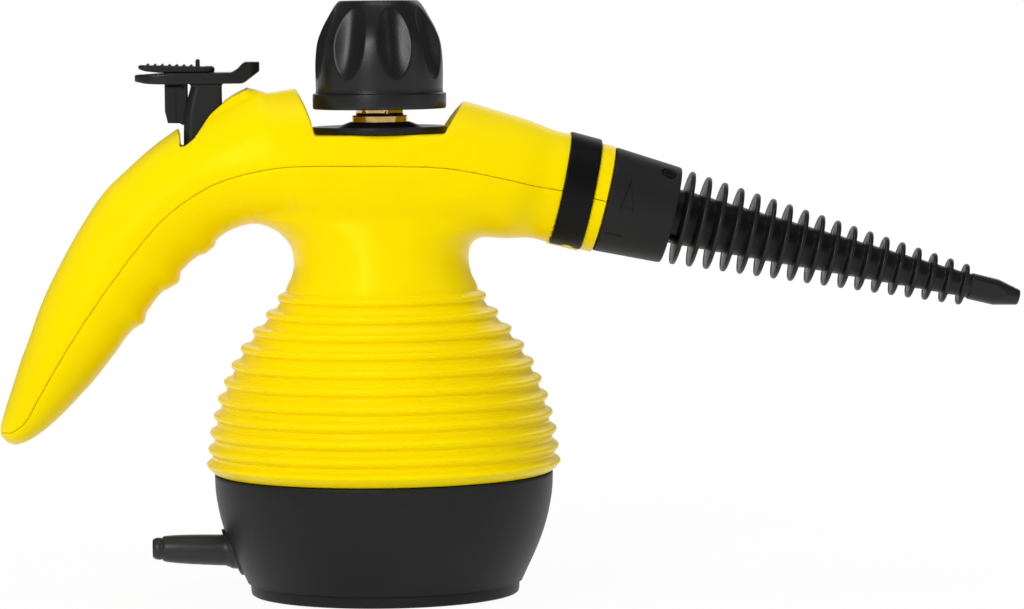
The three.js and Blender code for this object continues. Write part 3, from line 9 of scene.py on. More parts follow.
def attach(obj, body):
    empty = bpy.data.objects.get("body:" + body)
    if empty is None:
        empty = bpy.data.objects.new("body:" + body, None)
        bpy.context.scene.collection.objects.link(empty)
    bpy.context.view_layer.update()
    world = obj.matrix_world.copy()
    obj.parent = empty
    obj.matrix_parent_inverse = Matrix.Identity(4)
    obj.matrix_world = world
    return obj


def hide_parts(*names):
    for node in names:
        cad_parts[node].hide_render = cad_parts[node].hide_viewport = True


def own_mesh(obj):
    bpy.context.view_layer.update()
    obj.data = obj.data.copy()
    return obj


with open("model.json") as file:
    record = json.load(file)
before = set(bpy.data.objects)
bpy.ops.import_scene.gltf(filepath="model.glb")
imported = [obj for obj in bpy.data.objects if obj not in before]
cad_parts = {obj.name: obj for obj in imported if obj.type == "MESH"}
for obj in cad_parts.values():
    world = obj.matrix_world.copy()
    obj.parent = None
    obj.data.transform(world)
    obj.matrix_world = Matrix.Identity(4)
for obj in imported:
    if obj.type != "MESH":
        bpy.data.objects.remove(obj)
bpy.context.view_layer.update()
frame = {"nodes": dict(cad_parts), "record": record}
nodes = frame["nodes"]
MM = 0.001
OUTSIDE = 6.0  # a field's value where its form doesn't reach

# Bell, neck and arch: sizes in millimetres, in the part's own frame
RIBS = 11
RIB_PITCH = 6.59
BASE_TOP = 47.7
FIRST_RIB = BASE_TOP + 3.5
LAST_RIB = FIRST_RIB + (RIBS - 1) * RIB_PITCH
BELL_RADIUS = 69.9
RIB_SHARES = [1, 0.99, 0.979, 0.957, 0.933, 0.897, 0.854, 0.801, 0.731, 0.656, 0.588]
NECK_RADIUS = 38.3
NECK_SINK = 3
NECK_END = 166
ARCH_TOP = 199.6
ARCH_REACH = 151.5
GRIP_HEIGHT = 145.7
ARCH_HALF = 30.0
SEAM_GAP = 0.045
TONGUE_IN = 1.5
TONGUE_HIGH = 4

# Openings of the housing
WELL_FLOOR = 181.4
WELL_RADIUS = 32.3
WELL_HIGH = 17.6
FILLER_HOLE = 15.7
FILLER_HOLE_FLOOR = 120
SLOT = (-78.5, -8.7, 152), (-61.4, 8.7, 230)
POCKET = (-66, -8.7, 170), (-54.2, 8.7, 193.2)
PIVOT_X, PIVOT_Z = -58.4, 189
PIN_HOLE, PIN_HALF = 1.8, 12.7

# Spout, band, connector and hose
TILT = math.radians(14)
SPOUT_X, SPOUT_Z = 71.2, 158.5
SPOUT = Matrix.Translation((SPOUT_X, 0, SPOUT_Z)) @ Matrix.Rotation(math.pi / 2 + TILT, 4, "Y")
SPOUT_RADIUS = 21.5
SPOUT_LIFT = 0.6
SPOUT_SEAM = 0.15
KEEL_HALF = math.radians(15)
BOSS_AT = 7.1
BAND_OPEN_HALF = math.radians(14.5)
BAND_INNER, BAND_OUTER = 20.7, 22.75
BAND_ENDS, BAND_LEAN = (-0.7, 11.9), 0.028
SCREW_AT = 39.2
SCREW_TURN = math.radians(-146)
HOSE_RIBS = 18
HOSE_FIRST = 49.4
HOSE_PITCH = 6.74
HOSE_RIB, HOSE_RIB_LOSS = 18.8, 10.5
HOSE_CORE, HOSE_CORE_LOSS = 10.85, 5.95
HOSE_END = HOSE_FIRST + HOSE_PITCH * (HOSE_RIBS - 1)
TIP_START = HOSE_END + 2.8

# Safety cap, plug and filler
CAP_BOTTOM = 191.2
CAP_HEIGHT = 42.6
CAP_RADIUS = 26.3
CAP_LID = CAP_BOTTOM + CAP_HEIGHT - 0.02
FLUTES = 8
FLUTE_TURN = math.radians(-76)
FLUTE_Z = CAP_BOTTOM + 0.608 * CAP_HEIGHT
FLUTE_HALF = 13.9
FLUTE_WIDE = 6.9
FLUTE_DEEP = 3.8
NECK_FLANGE = 185.7
PLUG_HEX = 188.8
PLUG_LOW = PLUG_HEX - 15
PLUG_TURN = math.radians(17)
THREAD_PITCH = 1.5

# Base and cord sleeve
BASE_LOW = 4.6
BASE_RADIUS = 66.8
BASE_WALL = 2.6
BASE_HOLE = 44.5
RIM_IN, RIM_OUT, RIM_TOP = 61.4, 63.4, 51.6
SCREWS = 3
SCREW_CIRCLE = 48.6
SCREW_HOLE = 3.6
SLEEVE_Z = 16.7
SLEEVE_END = 91.9
SLEEVE_SINK = 0.4
SLEEVE_PLATE = 9.2

# Lever and lock
LEVER_X = -95.85
LEVER_Z = 201.8
LEVER_LONG = 48.9
LEVER_HIGH = 8.2
LEVER_TOP = LEVER_Z + 0.53 * LEVER_HIGH
PLATE_MIDDLE = 24.7
POST_LOW = 171.6
POST_FRONT = -61.8
LOCK_X = -94.6
LOCK_LONG = 30.2
LOCK_HIGH = 3.1
LOCK_TEETH = 7

# Outlines as shares of a height or length and of a radius
BASE_OUTLINE = [
    (0, 0.812), (0.11, 0.845), (0.2, 0.873), (0.3, 0.902), (0.4, 0.928), (0.5, 0.95), (0.6, 0.968), (0.72, 0.984),
    (0.85, 0.996), (1, 1),
]
CAP_OUTLINE = [
    (0.155, 0.95), (0.34, 0.955), (0.48, 0.948), (0.615, 0.92), (0.735, 0.85), (0.84, 0.76), (0.95, 0.654),
    (0.988, 0.6),
]
LEVER = [
    (0, 0.13), (0.09, 0.03), (0.19, 0), (0.73, 0), (0.855, 0), (0.88, 0.05), (1, 0.57), (1, 1.02), (0.885, 1.02),
    (0.86, 0.93), (0.82, 0.68), (0.775, 0.53), (0.3, 0.53), (0, 0.455),
]
LOCK = [(0.01, 0.5), (0.1, 0.22), (0.27, 0.02), (0.35, 0), (1, 0), (1, 0.62), (0.9, 0.72), (0.02, 1), (0, 0.75)]

# Marks on the connector: along the spout's axis, upwards
ARROW = [(24.8, 10.4), (22.4, -2.2), (23.8, -1.1), (25.6, -0.7), (27.3, -1.3), (28.8, -2.7)]
MARK = [(19.4, -12.2), (26.6, -12.0), (26.6, -11.5), (19.4, -11.7)]

# Height share, reach to the left, to the right and to the side
NECK = [
    (-0.3, 0.97, 0.97, 0.98), (0.08, 0.99, 0.99, 0.99), (0.3, 0.924, 0.927, 0.95),
    (0.47, 0.903, 0.901, 0.91), (0.63, 0.914, 0.906, 0.87), (0.77, 0.958, 0.955, 0.84),
    (0.86, 1.02, 1.05, 0.82), (0.95, 1.1, 1.15, 0.8), (1.1, 1.3, 1.3, 0.76),
]
# Upper edge x, z and lower edge x, z as shares, half width, height of the widest line
ARCH = [
    (-0.97, 0.3055, -0.957, 0.303, 0.03, 0.5),
    (-0.98, 0.3105, -0.948, 0.3045, 0.1, 0.5), (-0.996, 0.331, -0.917, 0.3135, 0.27, 0.5),
    (-0.982, 0.373, -0.875, 0.335, 0.39, 0.5), (-0.962, 0.418, -0.832, 0.364, 0.47, 0.5),
    (-0.941, 0.466, -0.786, 0.4, 0.53, 0.5), (-0.917, 0.513, -0.743, 0.438, 0.57, 0.5),
    (-0.8815, 0.5845, -0.687, 0.498, 0.6, 0.5), (-0.8357, 0.6552, -0.628, 0.553, 0.62, 0.5),
    (-0.783, 0.7258, -0.564, 0.613, 0.64, 0.5), (-0.7212, 0.7955, -0.503, 0.663, 0.67, 0.49),
    (-0.657, 0.8435, -0.446, 0.696, 0.7, 0.48), (-0.5855, 0.8905, -0.393, 0.721, 0.75, 0.46),
    (-0.507, 0.9315, -0.343, 0.734, 0.82, 0.44), (-0.429, 0.965, -0.29, 0.733, 0.88, 0.41),
    (-0.334, 1.002, -0.224, 0.727, 0.93, 0.37), (-0.287, 1.002, -0.185, 0.716, 0.96, 0.34),
    (-0.238, 1.0, -0.132, 0.711, 0.98, 0.32), (-0.132, 1.0, -0.053, 0.71, 1, 0.3),
    (0, 0.998, 0.033, 0.708, 1, 0.3), (0.119, 0.988, 0.119, 0.706, 0.985, 0.31),
    (0.219, 0.971, 0.198, 0.705, 0.95, 0.34), (0.302, 0.952, 0.257, 0.703, 0.9, 0.38),
    (0.385, 0.932, 0.323, 0.699, 0.83, 0.43),
]
SEAM = [
    (-1.1, 0.327), (-0.986, 0.329), (-0.96, 0.332), (-0.934, 0.346), (-0.914, 0.366),
    (-0.888, 0.402), (-0.808, 0.503), (-0.722, 0.599), (-0.616, 0.704), (-0.537, 0.765),
    (-0.426, 0.8175), (-0.301, 0.8437), (-0.197, 0.8505), (-0.05, 0.849), (0.06, 0.848),
    (0.178, 0.842), (0.302, 0.823), (0.4, 0.8045),
]
# Outlines in millimetres, seen from the side
NOTCH = [
    (-78.6, 186), (-78.4, 177.4), (-77.0, 177.5), (-75.1, 178.7), (-72.7, 180.7), (-71.1, 183.0), (-69.5, 185.4),
    (-67.9, 187.8), (-66.3, 190.1), (-64.3, 192.3), (-62.3, 194.1), (-60.3, 195.5), (-58.3, 197.0), (-55.9, 198.5),
    (-53.0, 199.9), (-52, 206), (-78.6, 206),
]
FLANK = [
    (-72, 170), (-72, 181), (-69.5, 184.9), (-66.3, 189.6), (-62.3, 193.6), (-58.3, 196.5), (-52, 199.2), (-52, 170),
]
DIP = [(-51.3, 200.0), (-44.2, 197.7), (-40, 198.3), (-34, 199.5), (-34, 204), (-51.3, 204)]

# Finger steps: where each ends, and how far the grip stands out at x and z
FINGER_CORNERS = [(-67.3, 136.2), (-80.7, 122.6), (-94.2, 107.5)]
STEP_LONG = 19
STEP_DEEP = 2.6
STEP_DROP = 0.78
STEP_SWELL = 1.9
GRIP_SWELL = [
    (-117.1, 82.2, 0.1), (-112.9, 87.1, 0.28), (-110.2, 90.5, 0.5), (-107.4, 94.0, 0.75), (-106.0, 95.8, 0.85),
    (-104.7, 97.5, 0.78), (-103.5, 99.2, 0.55), (-102.2, 101.0, 0.3), (-100.9, 102.7, -0.1), (-99.5, 104.5, -0.3),
    (-97.8, 106.1, -0.3), (-95.7, 107.1, 0.35), (-94.4, 108.6, 0.7), (-93.8, 110.8, 1.0), (-92.8, 112.7, 0.95),
    (-91.5, 114.4, 0.5), (-90.2, 116.1, 0.2), (-89.0, 117.6, 0.0), (-87.8, 119.0, -0.25), (-86.3, 120.6, -0.3),
    (-84.2, 121.6, 0.4), (-82.4, 122.6, 0.95), (-81.1, 124.1, 1.4), (-80.2, 125.6, 2.0), (-79.6, 127.3, 1.6),
    (-78.4, 128.9, 1.1), (-77.1, 130.3, 0.9), (-75.7, 131.5, 0.65), (-74.3, 132.8, 0.43), (-72.4, 134.0, 0.3),
    (-71.0, 134.5, 0.65), (-69.7, 135.0, 0.95), (-68.5, 135.8, 0.7), (-67.5, 136.9, 0.3), (-66.8, 137.7, 0.6),
    (-66.2, 138.9, 1.0), (-64.9, 140.5, 0.8), (-63.4, 141.8, 0.46), (-60.5, 143.6, 0.25), (-54.0, 146.0, 0.3),
    (-49.1, 146.2, 0.25),
]

# Turned profiles: radius, height and, as a third number, the rounding of that corner
BELL_FOOT = [(0, 0.3), (64.4, 0.3), (66.1, 0.4), (67.0, 0.9), (68.3, 2.0), (69.4, 3.2)]
BEAD = [(-0.62, -1.3), (-0.14, -0.7), (0, 0), (-0.18, 0.72), (-0.85, 1.3)]
FOOT_PLATE = [
    (0, 1.4), (38, 1.4), (38.6, 1.1), (39.4, 0.2), (40, 0), (52.35, 0), (52.8, 0.35), (53, 1.1), (53.1, 2),
    (53.15, 4.0), (53.15, 4.6), (0, 4.6),
]
SLEEVE_FOOT = [(3.1, -2), (7.4, -2), (7.2, 0.8), (6.7, 1.9)]
SLEEVE_SHAPE = ([0, 0.3, 0.55, 0.77, 0.9, 0.97, 1], [6.15, 6.02, 5.86, 5.6, 5.32, 5.1, 4.85])
SLEEVE_COLLAR = [
    (4.6, -4.2), (4.3, -4.0), (4.25, -3.8), (4.4, -3.3), (4.4, -2.3), (4.2, -1.4), (3.85, -0.7), (3.4, -0.2),
    (3.1, -0.6),
]
SPOUT_FRONT = [
    (10, -0.3, 0), (20.4, -0.3, 0), (20.4, 11.5, 0), (21.2, 11.5, 0.4), (21.2, 17, 0.4), (16.5, 17, 0),
    (16.5, 27, 0.6), (12, 27, 0.3), (12, 11.5, 0), (10, 11.5, 0),
]
KEEL = [(20, -0.5), (22.1, -0.5), (22.1, 11.6), (20, 11.6)]
BOSS = [(0, 18.5), (1.9, 18.5), (1.9, 21.9), (1.5, 22.2), (0, 22.25)]
CAP_SKIRT = [(23.0, 0, 0), (26.1, 0, 0.6), (26.3, 1, 0.5), (26.3, 5.9, 0.5), (25.05, 6.35, 0.35), (25.0, 8, 0)]
CAP_INSIDE = [(0, 39.6), (12.6, 39.6), (17, 32.4), (20, 20.8), (20, 6.3), (22.6, 6.3), (22.6, 0.3)]
STUD = [(0, -2.6), (2.3, -2.6), (2.6, -2.3), (2.6, 0), (5.4, 0), (5.4, 15.2)]
COLLAR = [(8, -0.12), (9.3, -0.12), (9.45, 0.1), (9.3, 0.7), (8, 0.9)]
SHANK = [
    (8.3, 4.8), (8.5, 5.3), (8.5, 8.7), (11.6, 8.7), (12, 9.1), (12, 16.3), (11.6, 16.7), (4, 16.7), (4, 21.2),
    (3.5, 21.7), (0, 21.7),
]
FILLER_TUBE = [(6.9, 111.3), (7.8, 111.3), (7.8, 114.3), (13, 114.3), (13, 117), (12.7, 117.3), (9, 117.3)]
FILLER_FLANGE = [
    (9, 0), (10.6, 0), (10.9, 0.3), (10.9, 2.6), (10.6, 2.9), (9.1, 2.9), (8.9, 2.8), (8.9, 2.0), (6.95, 2.0),
]
DISH = [
    (9.3, 178.3, 0), (15.4, 178.3, 0.4), (15.4, 181.6, 0.3), (25.6, 181.6, 0.6), (26.4, 182.2, 0.4),
    (26.4, 184.25, 0.4), (25.0, 184.3, 0.8), (22.4, 183.6, 1.5), (17.8, 183.6, 1.5), (15.2, 184.75, 1.5),
    (11.8, 186.05, 0.3), (9.3, 186.1, 0),
]
RETAINER = [(10.1, 194.2, 0.4), (22.3, 194.2, 0.4), (22.3, 197.2, 0.4), (10.1, 197.2, 0.4)]
CONNECTOR = [
    (19.8, 17.6, 0.3), (20.8, 17.6, 0.8), (20.8, 19, 1), (19.3, 43.4, 3), (19.0, 44.6, 1.7), (11.15, 44.6, 0.6),
    (11.15, 42.2, 0), (15.2, 42.2, 0), (15.2, 31, 0), (4.7, 31, 0), (4.7, 28.6, 0), (18.4, 28.6, 0), (18.4, 17.6, 0.3),
]


# Curves and profiles
def smooth_rows(rows, count):
    """Catmull-Rom values between the rows of a table, evenly spread."""
    rows = np.array(rows, float)
    at = np.linspace(0, len(rows) - 1, count)
    k = np.minimum(at.astype(int), len(rows) - 2)
    t = (at - k)[:, None]
    a, b, c, d = (rows[np.clip(k + n, 0, len(rows) - 1)] for n in (-1, 0, 1, 2))
    m0, m1 = (c - a) / 2, (d - b) / 2
    ends = (2 * t**3 - 3 * t**2 + 1) * b + (3 * t**2 - 2 * t**3) * c
    return ends + (t**3 - 2 * t**2 + t) * m0 + (t**3 - t**2) * m1


def rounded(rows, steps):
    """A profile with rounded corners: each row is a point and the rounding there."""
    made = []
    for i, (*p, r) in enumerate(rows):
        at = Vector(p)
        a, b = (Vector(rows[j % len(rows)][:2]) - at for j in (i - 1, i + 1))
        if r == 0 or min(a.length, b.length) < 1e-6:
            made.append(tuple(p))
            continue
        reach = min(r / max(math.tan(a.angle(b) / 2), 1e-3), 0.45 * a.length, 0.45 * b.length)
        start, end = at + a.normalized() * reach, at + b.normalized() * reach
        for k in range(steps + 1):
            t = k / steps
            made.append(tuple(start * (1 - t) ** 2 + at * 2 * t * (1 - t) + end * t**2))
    return made


def circle(count):
    return [(math.cos(2 * math.pi * i / count), math.sin(2 * math.pi * i / count)) for i in range(count)]


def raised(profile, up):
    return [(r, z + up) for r, z in profile]


# Meshes
def mesh_of(name, verts, faces, matrix=None):
    mesh = bpy.data.meshes.new(name)
    at = np.array(verts, float)
    if matrix is not None:
        m = np.array(matrix)
        at = at @ m[:3, :3].T + m[:3, 3]
    mesh.from_pydata((at * MM).tolist(), [], faces)
    mesh.validate()
    work = bmesh.new()
    work.from_mesh(mesh)
    bmesh.ops.recalc_face_normals(work, faces=work.faces)
    work.to_mesh(mesh)
    work.free()
    mesh.update()
    return mesh


def put(node, verts, faces, body, material, smooth=40, matrix=None, cutters=()):
    """The piece that replaces a node, with the cutters taken out of it."""
    name = node + "_skin"
    obj = bpy.data.objects.new(name, mesh_of(name, verts, faces, matrix))
    bpy.context.scene.collection.objects.link(obj)
    for shape in cutters:
        tool = bpy.data.objects.new("cutter", mesh_of("cutter", *shape, matrix))
        bpy.context.scene.collection.objects.link(tool)
        cut = obj.modifiers.new("cut", "BOOLEAN")
        cut.object = tool
        cut.operation = "DIFFERENCE"
        cut.solver = "EXACT"
        bpy.context.view_layer.update()
        made = bpy.data.meshes.new_from_object(obj.evaluated_get(bpy.context.evaluated_depsgraph_get()))
        obj.modifiers.clear()
        obj.data = made
        bpy.data.objects.remove(tool)
    obj.data.materials.clear()
    obj.data.materials.append(material)
    obj.data.polygons.foreach_set("use_smooth", [True] * len(obj.data.polygons))
    obj.data.set_sharp_from_angle(angle=math.radians(smooth))
    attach(obj, body)
    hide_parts(node)
    return obj


def lathe_mesh(profile, sides, close=False):
    """Vertices and faces of a profile of (radius, height) turned round the z axis."""
    verts, faces, rings = [], [], []
    for r, z in profile:
        ring = [(0, 0, z)] if r < 1e-6 else [(r * c, r * s, z) for c, s in circle(sides)]
        rings.append(range(len(verts), len(verts) + len(ring)))
        verts += ring
    for a, b in zip(rings, rings[1:] + (rings[:1] if close else [])):
        for i in range(sides):
            j = (i + 1) % sides
            face = tuple(dict.fromkeys((a[i % len(a)], a[j % len(a)], b[j % len(b)], b[i % len(b)])))
            if len(face) > 2:
                faces.append(face)
    return verts, faces


def lathe(node, profile, body, material, sides, close=True, cutters=()):
    put(node, *lathe_mesh(profile, sides, close), body, material, 35, cutters=cutters)


def rings_of(rows, around, ends=True):
    """Faces between rings of the same count, one above the other, and over both ends."""
    faces = []
    for k in range(rows - 1):
        for i in range(around):
            a, b = k * around + i, k * around + (i + 1) % around
            faces.append((a, b, b + around, a + around))
    if ends:
        faces += [tuple(reversed(range(around))), tuple(range((rows - 1) * around, rows * around))]
    return faces


def placed(part, matrix):
    return [tuple(matrix @ Vector(v)) for v in part[0]], part[1]


def joined(parts):
    verts, faces = [], []
    for v, f in parts:
        base = len(verts)
        verts.extend(map(tuple, v))
        faces.extend(tuple(int(i) + base for i in face) for face in f)
    return verts, faces


# Fields, negative inside, in millimetres
def smin(a, b, r):
    h = np.maximum(r - np.abs(a - b), 0) / r
    return np.minimum(a, b) - h * h * r / 4


def smax(a, b, r):
    return -smin(-a, -b, r)


def outline_field(x, z, points):
    """Distance to a closed outline in the x-z plane, negative inside."""
    p = np.array(points, float)
    best = np.full(np.broadcast(x, z).shape, 1e9)
    sign = np.ones_like(best)
    for i in range(len(p)):
        a, b = p[i - 1], p[i]
        e = b - a
        if (e * e).sum() < 1e-12:
            continue
        wx, wz = x - a[0], z - a[1]
        t = np.clip((wx * e[0] + wz * e[1]) / (e * e).sum(), 0, 1)
        best = np.minimum(best, (wx - e[0] * t) ** 2 + (wz - e[1] * t) ** 2)
        over = (z >= a[1]) != (z >= b[1])
        side = (x - a[0]) * e[1] - e[0] * (z - a[1])
        cross = over & (((e[1] > 0) & (side < 0)) | ((e[1] < 0) & (side > 0)))
        sign = np.where(cross, -sign, sign)
    return sign * np.sqrt(best)


def prism(flat, across, r):
    """A flat field given thickness, its edges rounded by r."""
    a, b = flat + r, across + r
    return np.minimum(np.maximum(a, b), 0) + np.hypot(np.maximum(a, 0), np.maximum(b, 0)) - r


def box_field(x, y, z, lo, hi, r):
    a = [np.abs(v - (l + h) / 2) - (h - l) / 2 + r for v, l, h in zip((x, y, z), lo, hi)]
    outside = np.sqrt(sum(np.maximum(v, 0) ** 2 for v in a))
    return np.minimum(np.maximum(np.maximum(a[0], a[1]), a[2]), 0) + outside - r


def ellipse_field(a, b, half_a, half_b):
    k = np.sqrt((a / half_a) ** 2 + (b / half_b) ** 2) + 1e-6
    return (k - 1) * k / (np.sqrt((a / half_a**2) ** 2 + (b / half_b**2) ** 2) + 1e-6)


def side_field(x, z, points):
    """Field of an outline in the x-z plane, the same at every y."""
    return outline_field(x[:, :, 0] + 0 * z[0], z[0] + 0 * x[:, :, 0], points)[:, None, :]


def grid(lo, hi, step):
    axes = [np.arange(l, h + step, step, dtype=np.float32) for l, h in zip(lo, hi)]
    return axes, axes[0][:, None, None], axes[1][None, :, None], axes[2][None, None, :]


def net(field, axes):
    """Surface net of a sampled field: one vertex in each cell that it crosses."""
    inside = field < 0
    corners = [(i, j, k) for i in (0, 1) for j in (0, 1) for k in (0, 1)]
    cut = [slice(None, -1), slice(1, None)]
    some = np.zeros(tuple(n - 1 for n in field.shape), bool)
    every = np.ones_like(some)
    for i, j, k in corners:
        c = inside[cut[i], cut[j], cut[k]]
        some |= c
        every &= c
    cells = np.argwhere(some & ~every)
    number = np.full(some.shape, -1, np.int32)
    number[tuple(cells.T)] = np.arange(len(cells))
    total = np.zeros((len(cells), 3))
    count = np.zeros(len(cells))
    value = {c: field[cells[:, 0] + c[0], cells[:, 1] + c[1], cells[:, 2] + c[2]] for c in corners}
    for a in corners:
        for axis in range(3):
            if a[axis]:
                continue
            b = tuple(1 if n == axis else v for n, v in enumerate(a))
            fa, fb = value[a], value[b]
            hit = (fa < 0) != (fb < 0)
            t = np.where(hit, fa / np.where(hit, fa - fb, 1), 0)
            point = np.array(a, float)[None, :].repeat(len(cells), 0)
            point[:, axis] = t
            total[hit] += point[hit]
            count[hit] += 1
    step = [float(a[1] - a[0]) for a in axes]
    origin = np.array([a[0] for a in axes], float)
    verts = origin + (cells + total / count[:, None]) * step
    faces = []
    for axis in range(3):
        u, v = (axis + 1) % 3, (axis + 2) % 3
        low = [slice(None)] * 3
        high = [slice(None)] * 3
        low[axis], high[axis] = slice(None, -1), slice(1, None)
        a, b = inside[tuple(low)], inside[tuple(high)]
        edges = np.argwhere(a != b)
        edges = edges[(edges[:, u] > 0) & (edges[:, v] > 0)]
        edges = edges[(edges[:, u] < field.shape[u] - 1) & (edges[:, v] < field.shape[v] - 1)]
        out = a[tuple(edges.T)]
        quad = []
        for du, dv in ((1, 1), (0, 1), (0, 0), (1, 0)):
            c = edges.copy()
            c[:, u] -= du
            c[:, v] -= dv
            quad.append(number[tuple(c.T)])
        quad = np.stack(quad, 1)
        quad[~out] = quad[~out][:, ::-1]
        faces.append(quad)
    return verts, np.concatenate(faces)


def settle(verts, faces, rounds=2):
    """Evens out the net's small steps."""
    n = len(verts)
    a = faces.ravel()
    b = np.roll(faces, 1, axis=1).ravel()
    count = np.bincount(a, minlength=n) + np.bincount(b, minlength=n)
    for _ in range(rounds):
        for pull in (0.5, -0.53):
            near = np.stack([np.bincount(a, verts[b, c], n) + np.bincount(b, verts[a, c], n) for c in range(3)], 1)
            verts = verts + pull * (near / count[:, None] - verts)
    return verts


def carved(node, lo, hi, step, shape, body, material, matrix=None, rounds=2):
    """A piece meshed from a field of x, y and z."""
    step *= 1
    axes, x, y, z = grid(lo, hi, step)
    field = np.broadcast_to(shape(x, y, z), tuple(len(a) for a in axes)).astype(np.float32)
    verts, faces = net(field, axes)
    put(node, settle(verts, faces, rounds), faces.tolist(), body, material, matrix=matrix)


# Materials
SLOTS = {}
BROAD_SCALE = 18
BUMP_HEIGHT = 0.0002


def add(tree, kind, values=()):
    """A shader node, with values set on its own sockets."""
    made = tree.nodes.new(kind)
    for name, value in values:
        made.inputs[name].default_value = value
    return made


def noise(tree, scale, detail, rough=0.5):
    made = add(tree, "ShaderNodeTexNoise", (("Scale", scale), ("Detail", detail), ("Roughness", rough)))
    tree.links.new(add(tree, "ShaderNodeTexCoord").outputs["Object"], made.inputs["Vector"])
    return made.outputs["Fac"]


def ramp(tree, source, low, high, start=0.3, end=0.7):
    limits = ("From Min", start), ("From Max", end), ("To Min", low), ("To Max", high)
    made = add(tree, "ShaderNodeMapRange", limits)
    tree.links.new(source, made.inputs["Value"])
    return made.outputs["Result"]


def tint(tree, source, low, high):
    made = tree.nodes.new("ShaderNodeValToRGB")
    for stop, at, colour in zip(made.color_ramp.elements, (0.35, 0.65), (low, high)):
        stop.position, stop.color = at, (*colour, 1)
    tree.links.new(source, made.inputs["Fac"])
    return made.outputs["Color"]


def surface(name, slot, low, high, rough, grain, relief, metal=0.0, shine=0.5, shade=(1, 1, 1)):
    """A colour that drifts between two, with fine grain in its roughness and its relief."""
    made = bpy.data.materials.new(name)
    made.use_nodes = True
    tree = made.node_tree
    bsdf = tree.nodes["Principled BSDF"]
    broad, fine = noise(tree, BROAD_SCALE, 2), noise(tree, grain, 4, 0.6)
    tree.links.new(tint(tree, broad, low, high), bsdf.inputs["Base Color"])
    tree.links.new(ramp(tree, fine, *rough), bsdf.inputs["Roughness"])
    bump = add(tree, "ShaderNodeBump", (("Strength", relief), ("Distance", BUMP_HEIGHT)))
    tree.links.new(fine, bump.inputs["Height"])
    tree.links.new(bump.outputs["Normal"], bsdf.inputs["Normal"])
    bsdf.inputs["Metallic"].default_value = metal
    bsdf.inputs["Specular IOR Level"].default_value = shine
    bsdf.inputs["Specular Tint"].default_value = (*shade, 1)
    SLOTS[name] = slot
    return made


def grey(value):
    return value, value, value + 0.0002


yellow = surface("moulded_yellow", "yellow_plastic", (0.965, 0.735, 0.0), (0.995, 0.775, 0.0), (0.26, 0.34), 900, 0.06,
                 shine=0.2, shade=(1, 0.8, 0.08))
black = surface("satin_black", "black_plastic", grey(0.0065), grey(0.0095), (0.27, 0.34), 2200, 0.2, shine=0.36)
matt_black = surface("matt_black", "black_plastic", grey(0.014), grey(0.018), (0.4, 0.48), 2200, 0.2, shine=0.13)
lever_black = surface("lever_black", "black_plastic", grey(0.0085), grey(0.0115), (0.28, 0.36), 2200, 0.15, shine=0.26)
deep_black = surface("smooth_deep_black", "deep_black_plastic", grey(0.003), grey(0.0045), (0.36, 0.44), 1600, 0.1,
                     shine=0.12)
tray_black = surface("dish_black", "deep_black_plastic", grey(0.009), grey(0.012), (0.3, 0.38), 1600, 0.1, shine=0.2)
sleeve_rubber = surface("sleeve_rubber", "black_rubber", (0.02, 0.02, 0.0204), (0.027, 0.027, 0.0275), (0.34, 0.42),
                        1500, 0.15, shine=0.35)
rubber = surface("soft_rubber", "black_rubber", grey(0.006), grey(0.0095), (0.32, 0.42), 1500, 0.15, shine=0.3)
brass = surface("turned_brass", "brass", (0.66, 0.44, 0.15), (0.74, 0.52, 0.21), (0.16, 0.26), 260, 0.04, metal=1.0)
steel = surface("bright_steel", "steel", (0.5, 0.51, 0.53), (0.62, 0.63, 0.65), (0.22, 0.36), 800, 0.1, metal=1.0)
cast = surface("die_cast", "cast_aluminium", (0.42, 0.43, 0.45), (0.52, 0.53, 0.55), (0.45, 0.6), 500, 0.4, metal=1.0)
silicone = surface("red_silicone", "silicone", (0.4, 0.07, 0.045), (0.48, 0.09, 0.055), (0.5, 0.6), 900, 0.1)
ceramic = surface("pale_moulding", "ceramic", (0.7, 0.67, 0.62), (0.78, 0.75, 0.7), (0.5, 0.65), 900, 0.15)
by_slot = {SLOTS[m.name]: m for m in (yellow, black, deep_black, rubber, brass, steel, cast, silicone, ceramic)}
for part in frame["record"]["subparts"]:
    piece = nodes[part["node"]]
    piece.data.materials.clear()
    piece.data.materials.append(by_slot[part["material_slot"]])


# Yellow housing
def spout_point(along, across=0.0):
    p = SPOUT @ Vector((across, 0, along))
    return p.x, p.z


def arch_rows():
    rows = [(ARCH_REACH * a, ARCH_TOP * b, ARCH_REACH * c, ARCH_TOP * d, ARCH_HALF * w, m) for a, b, c, d, w, m in ARCH]
    for along in (-8, 0):
        upper, lower = spout_point(along, -SPOUT_RADIUS - SPOUT_LIFT), spout_point(along, SPOUT_RADIUS)
        rows.append((*upper, *lower, SPOUT_RADIUS, 0.5))
    return smooth_rows(rows, 260)


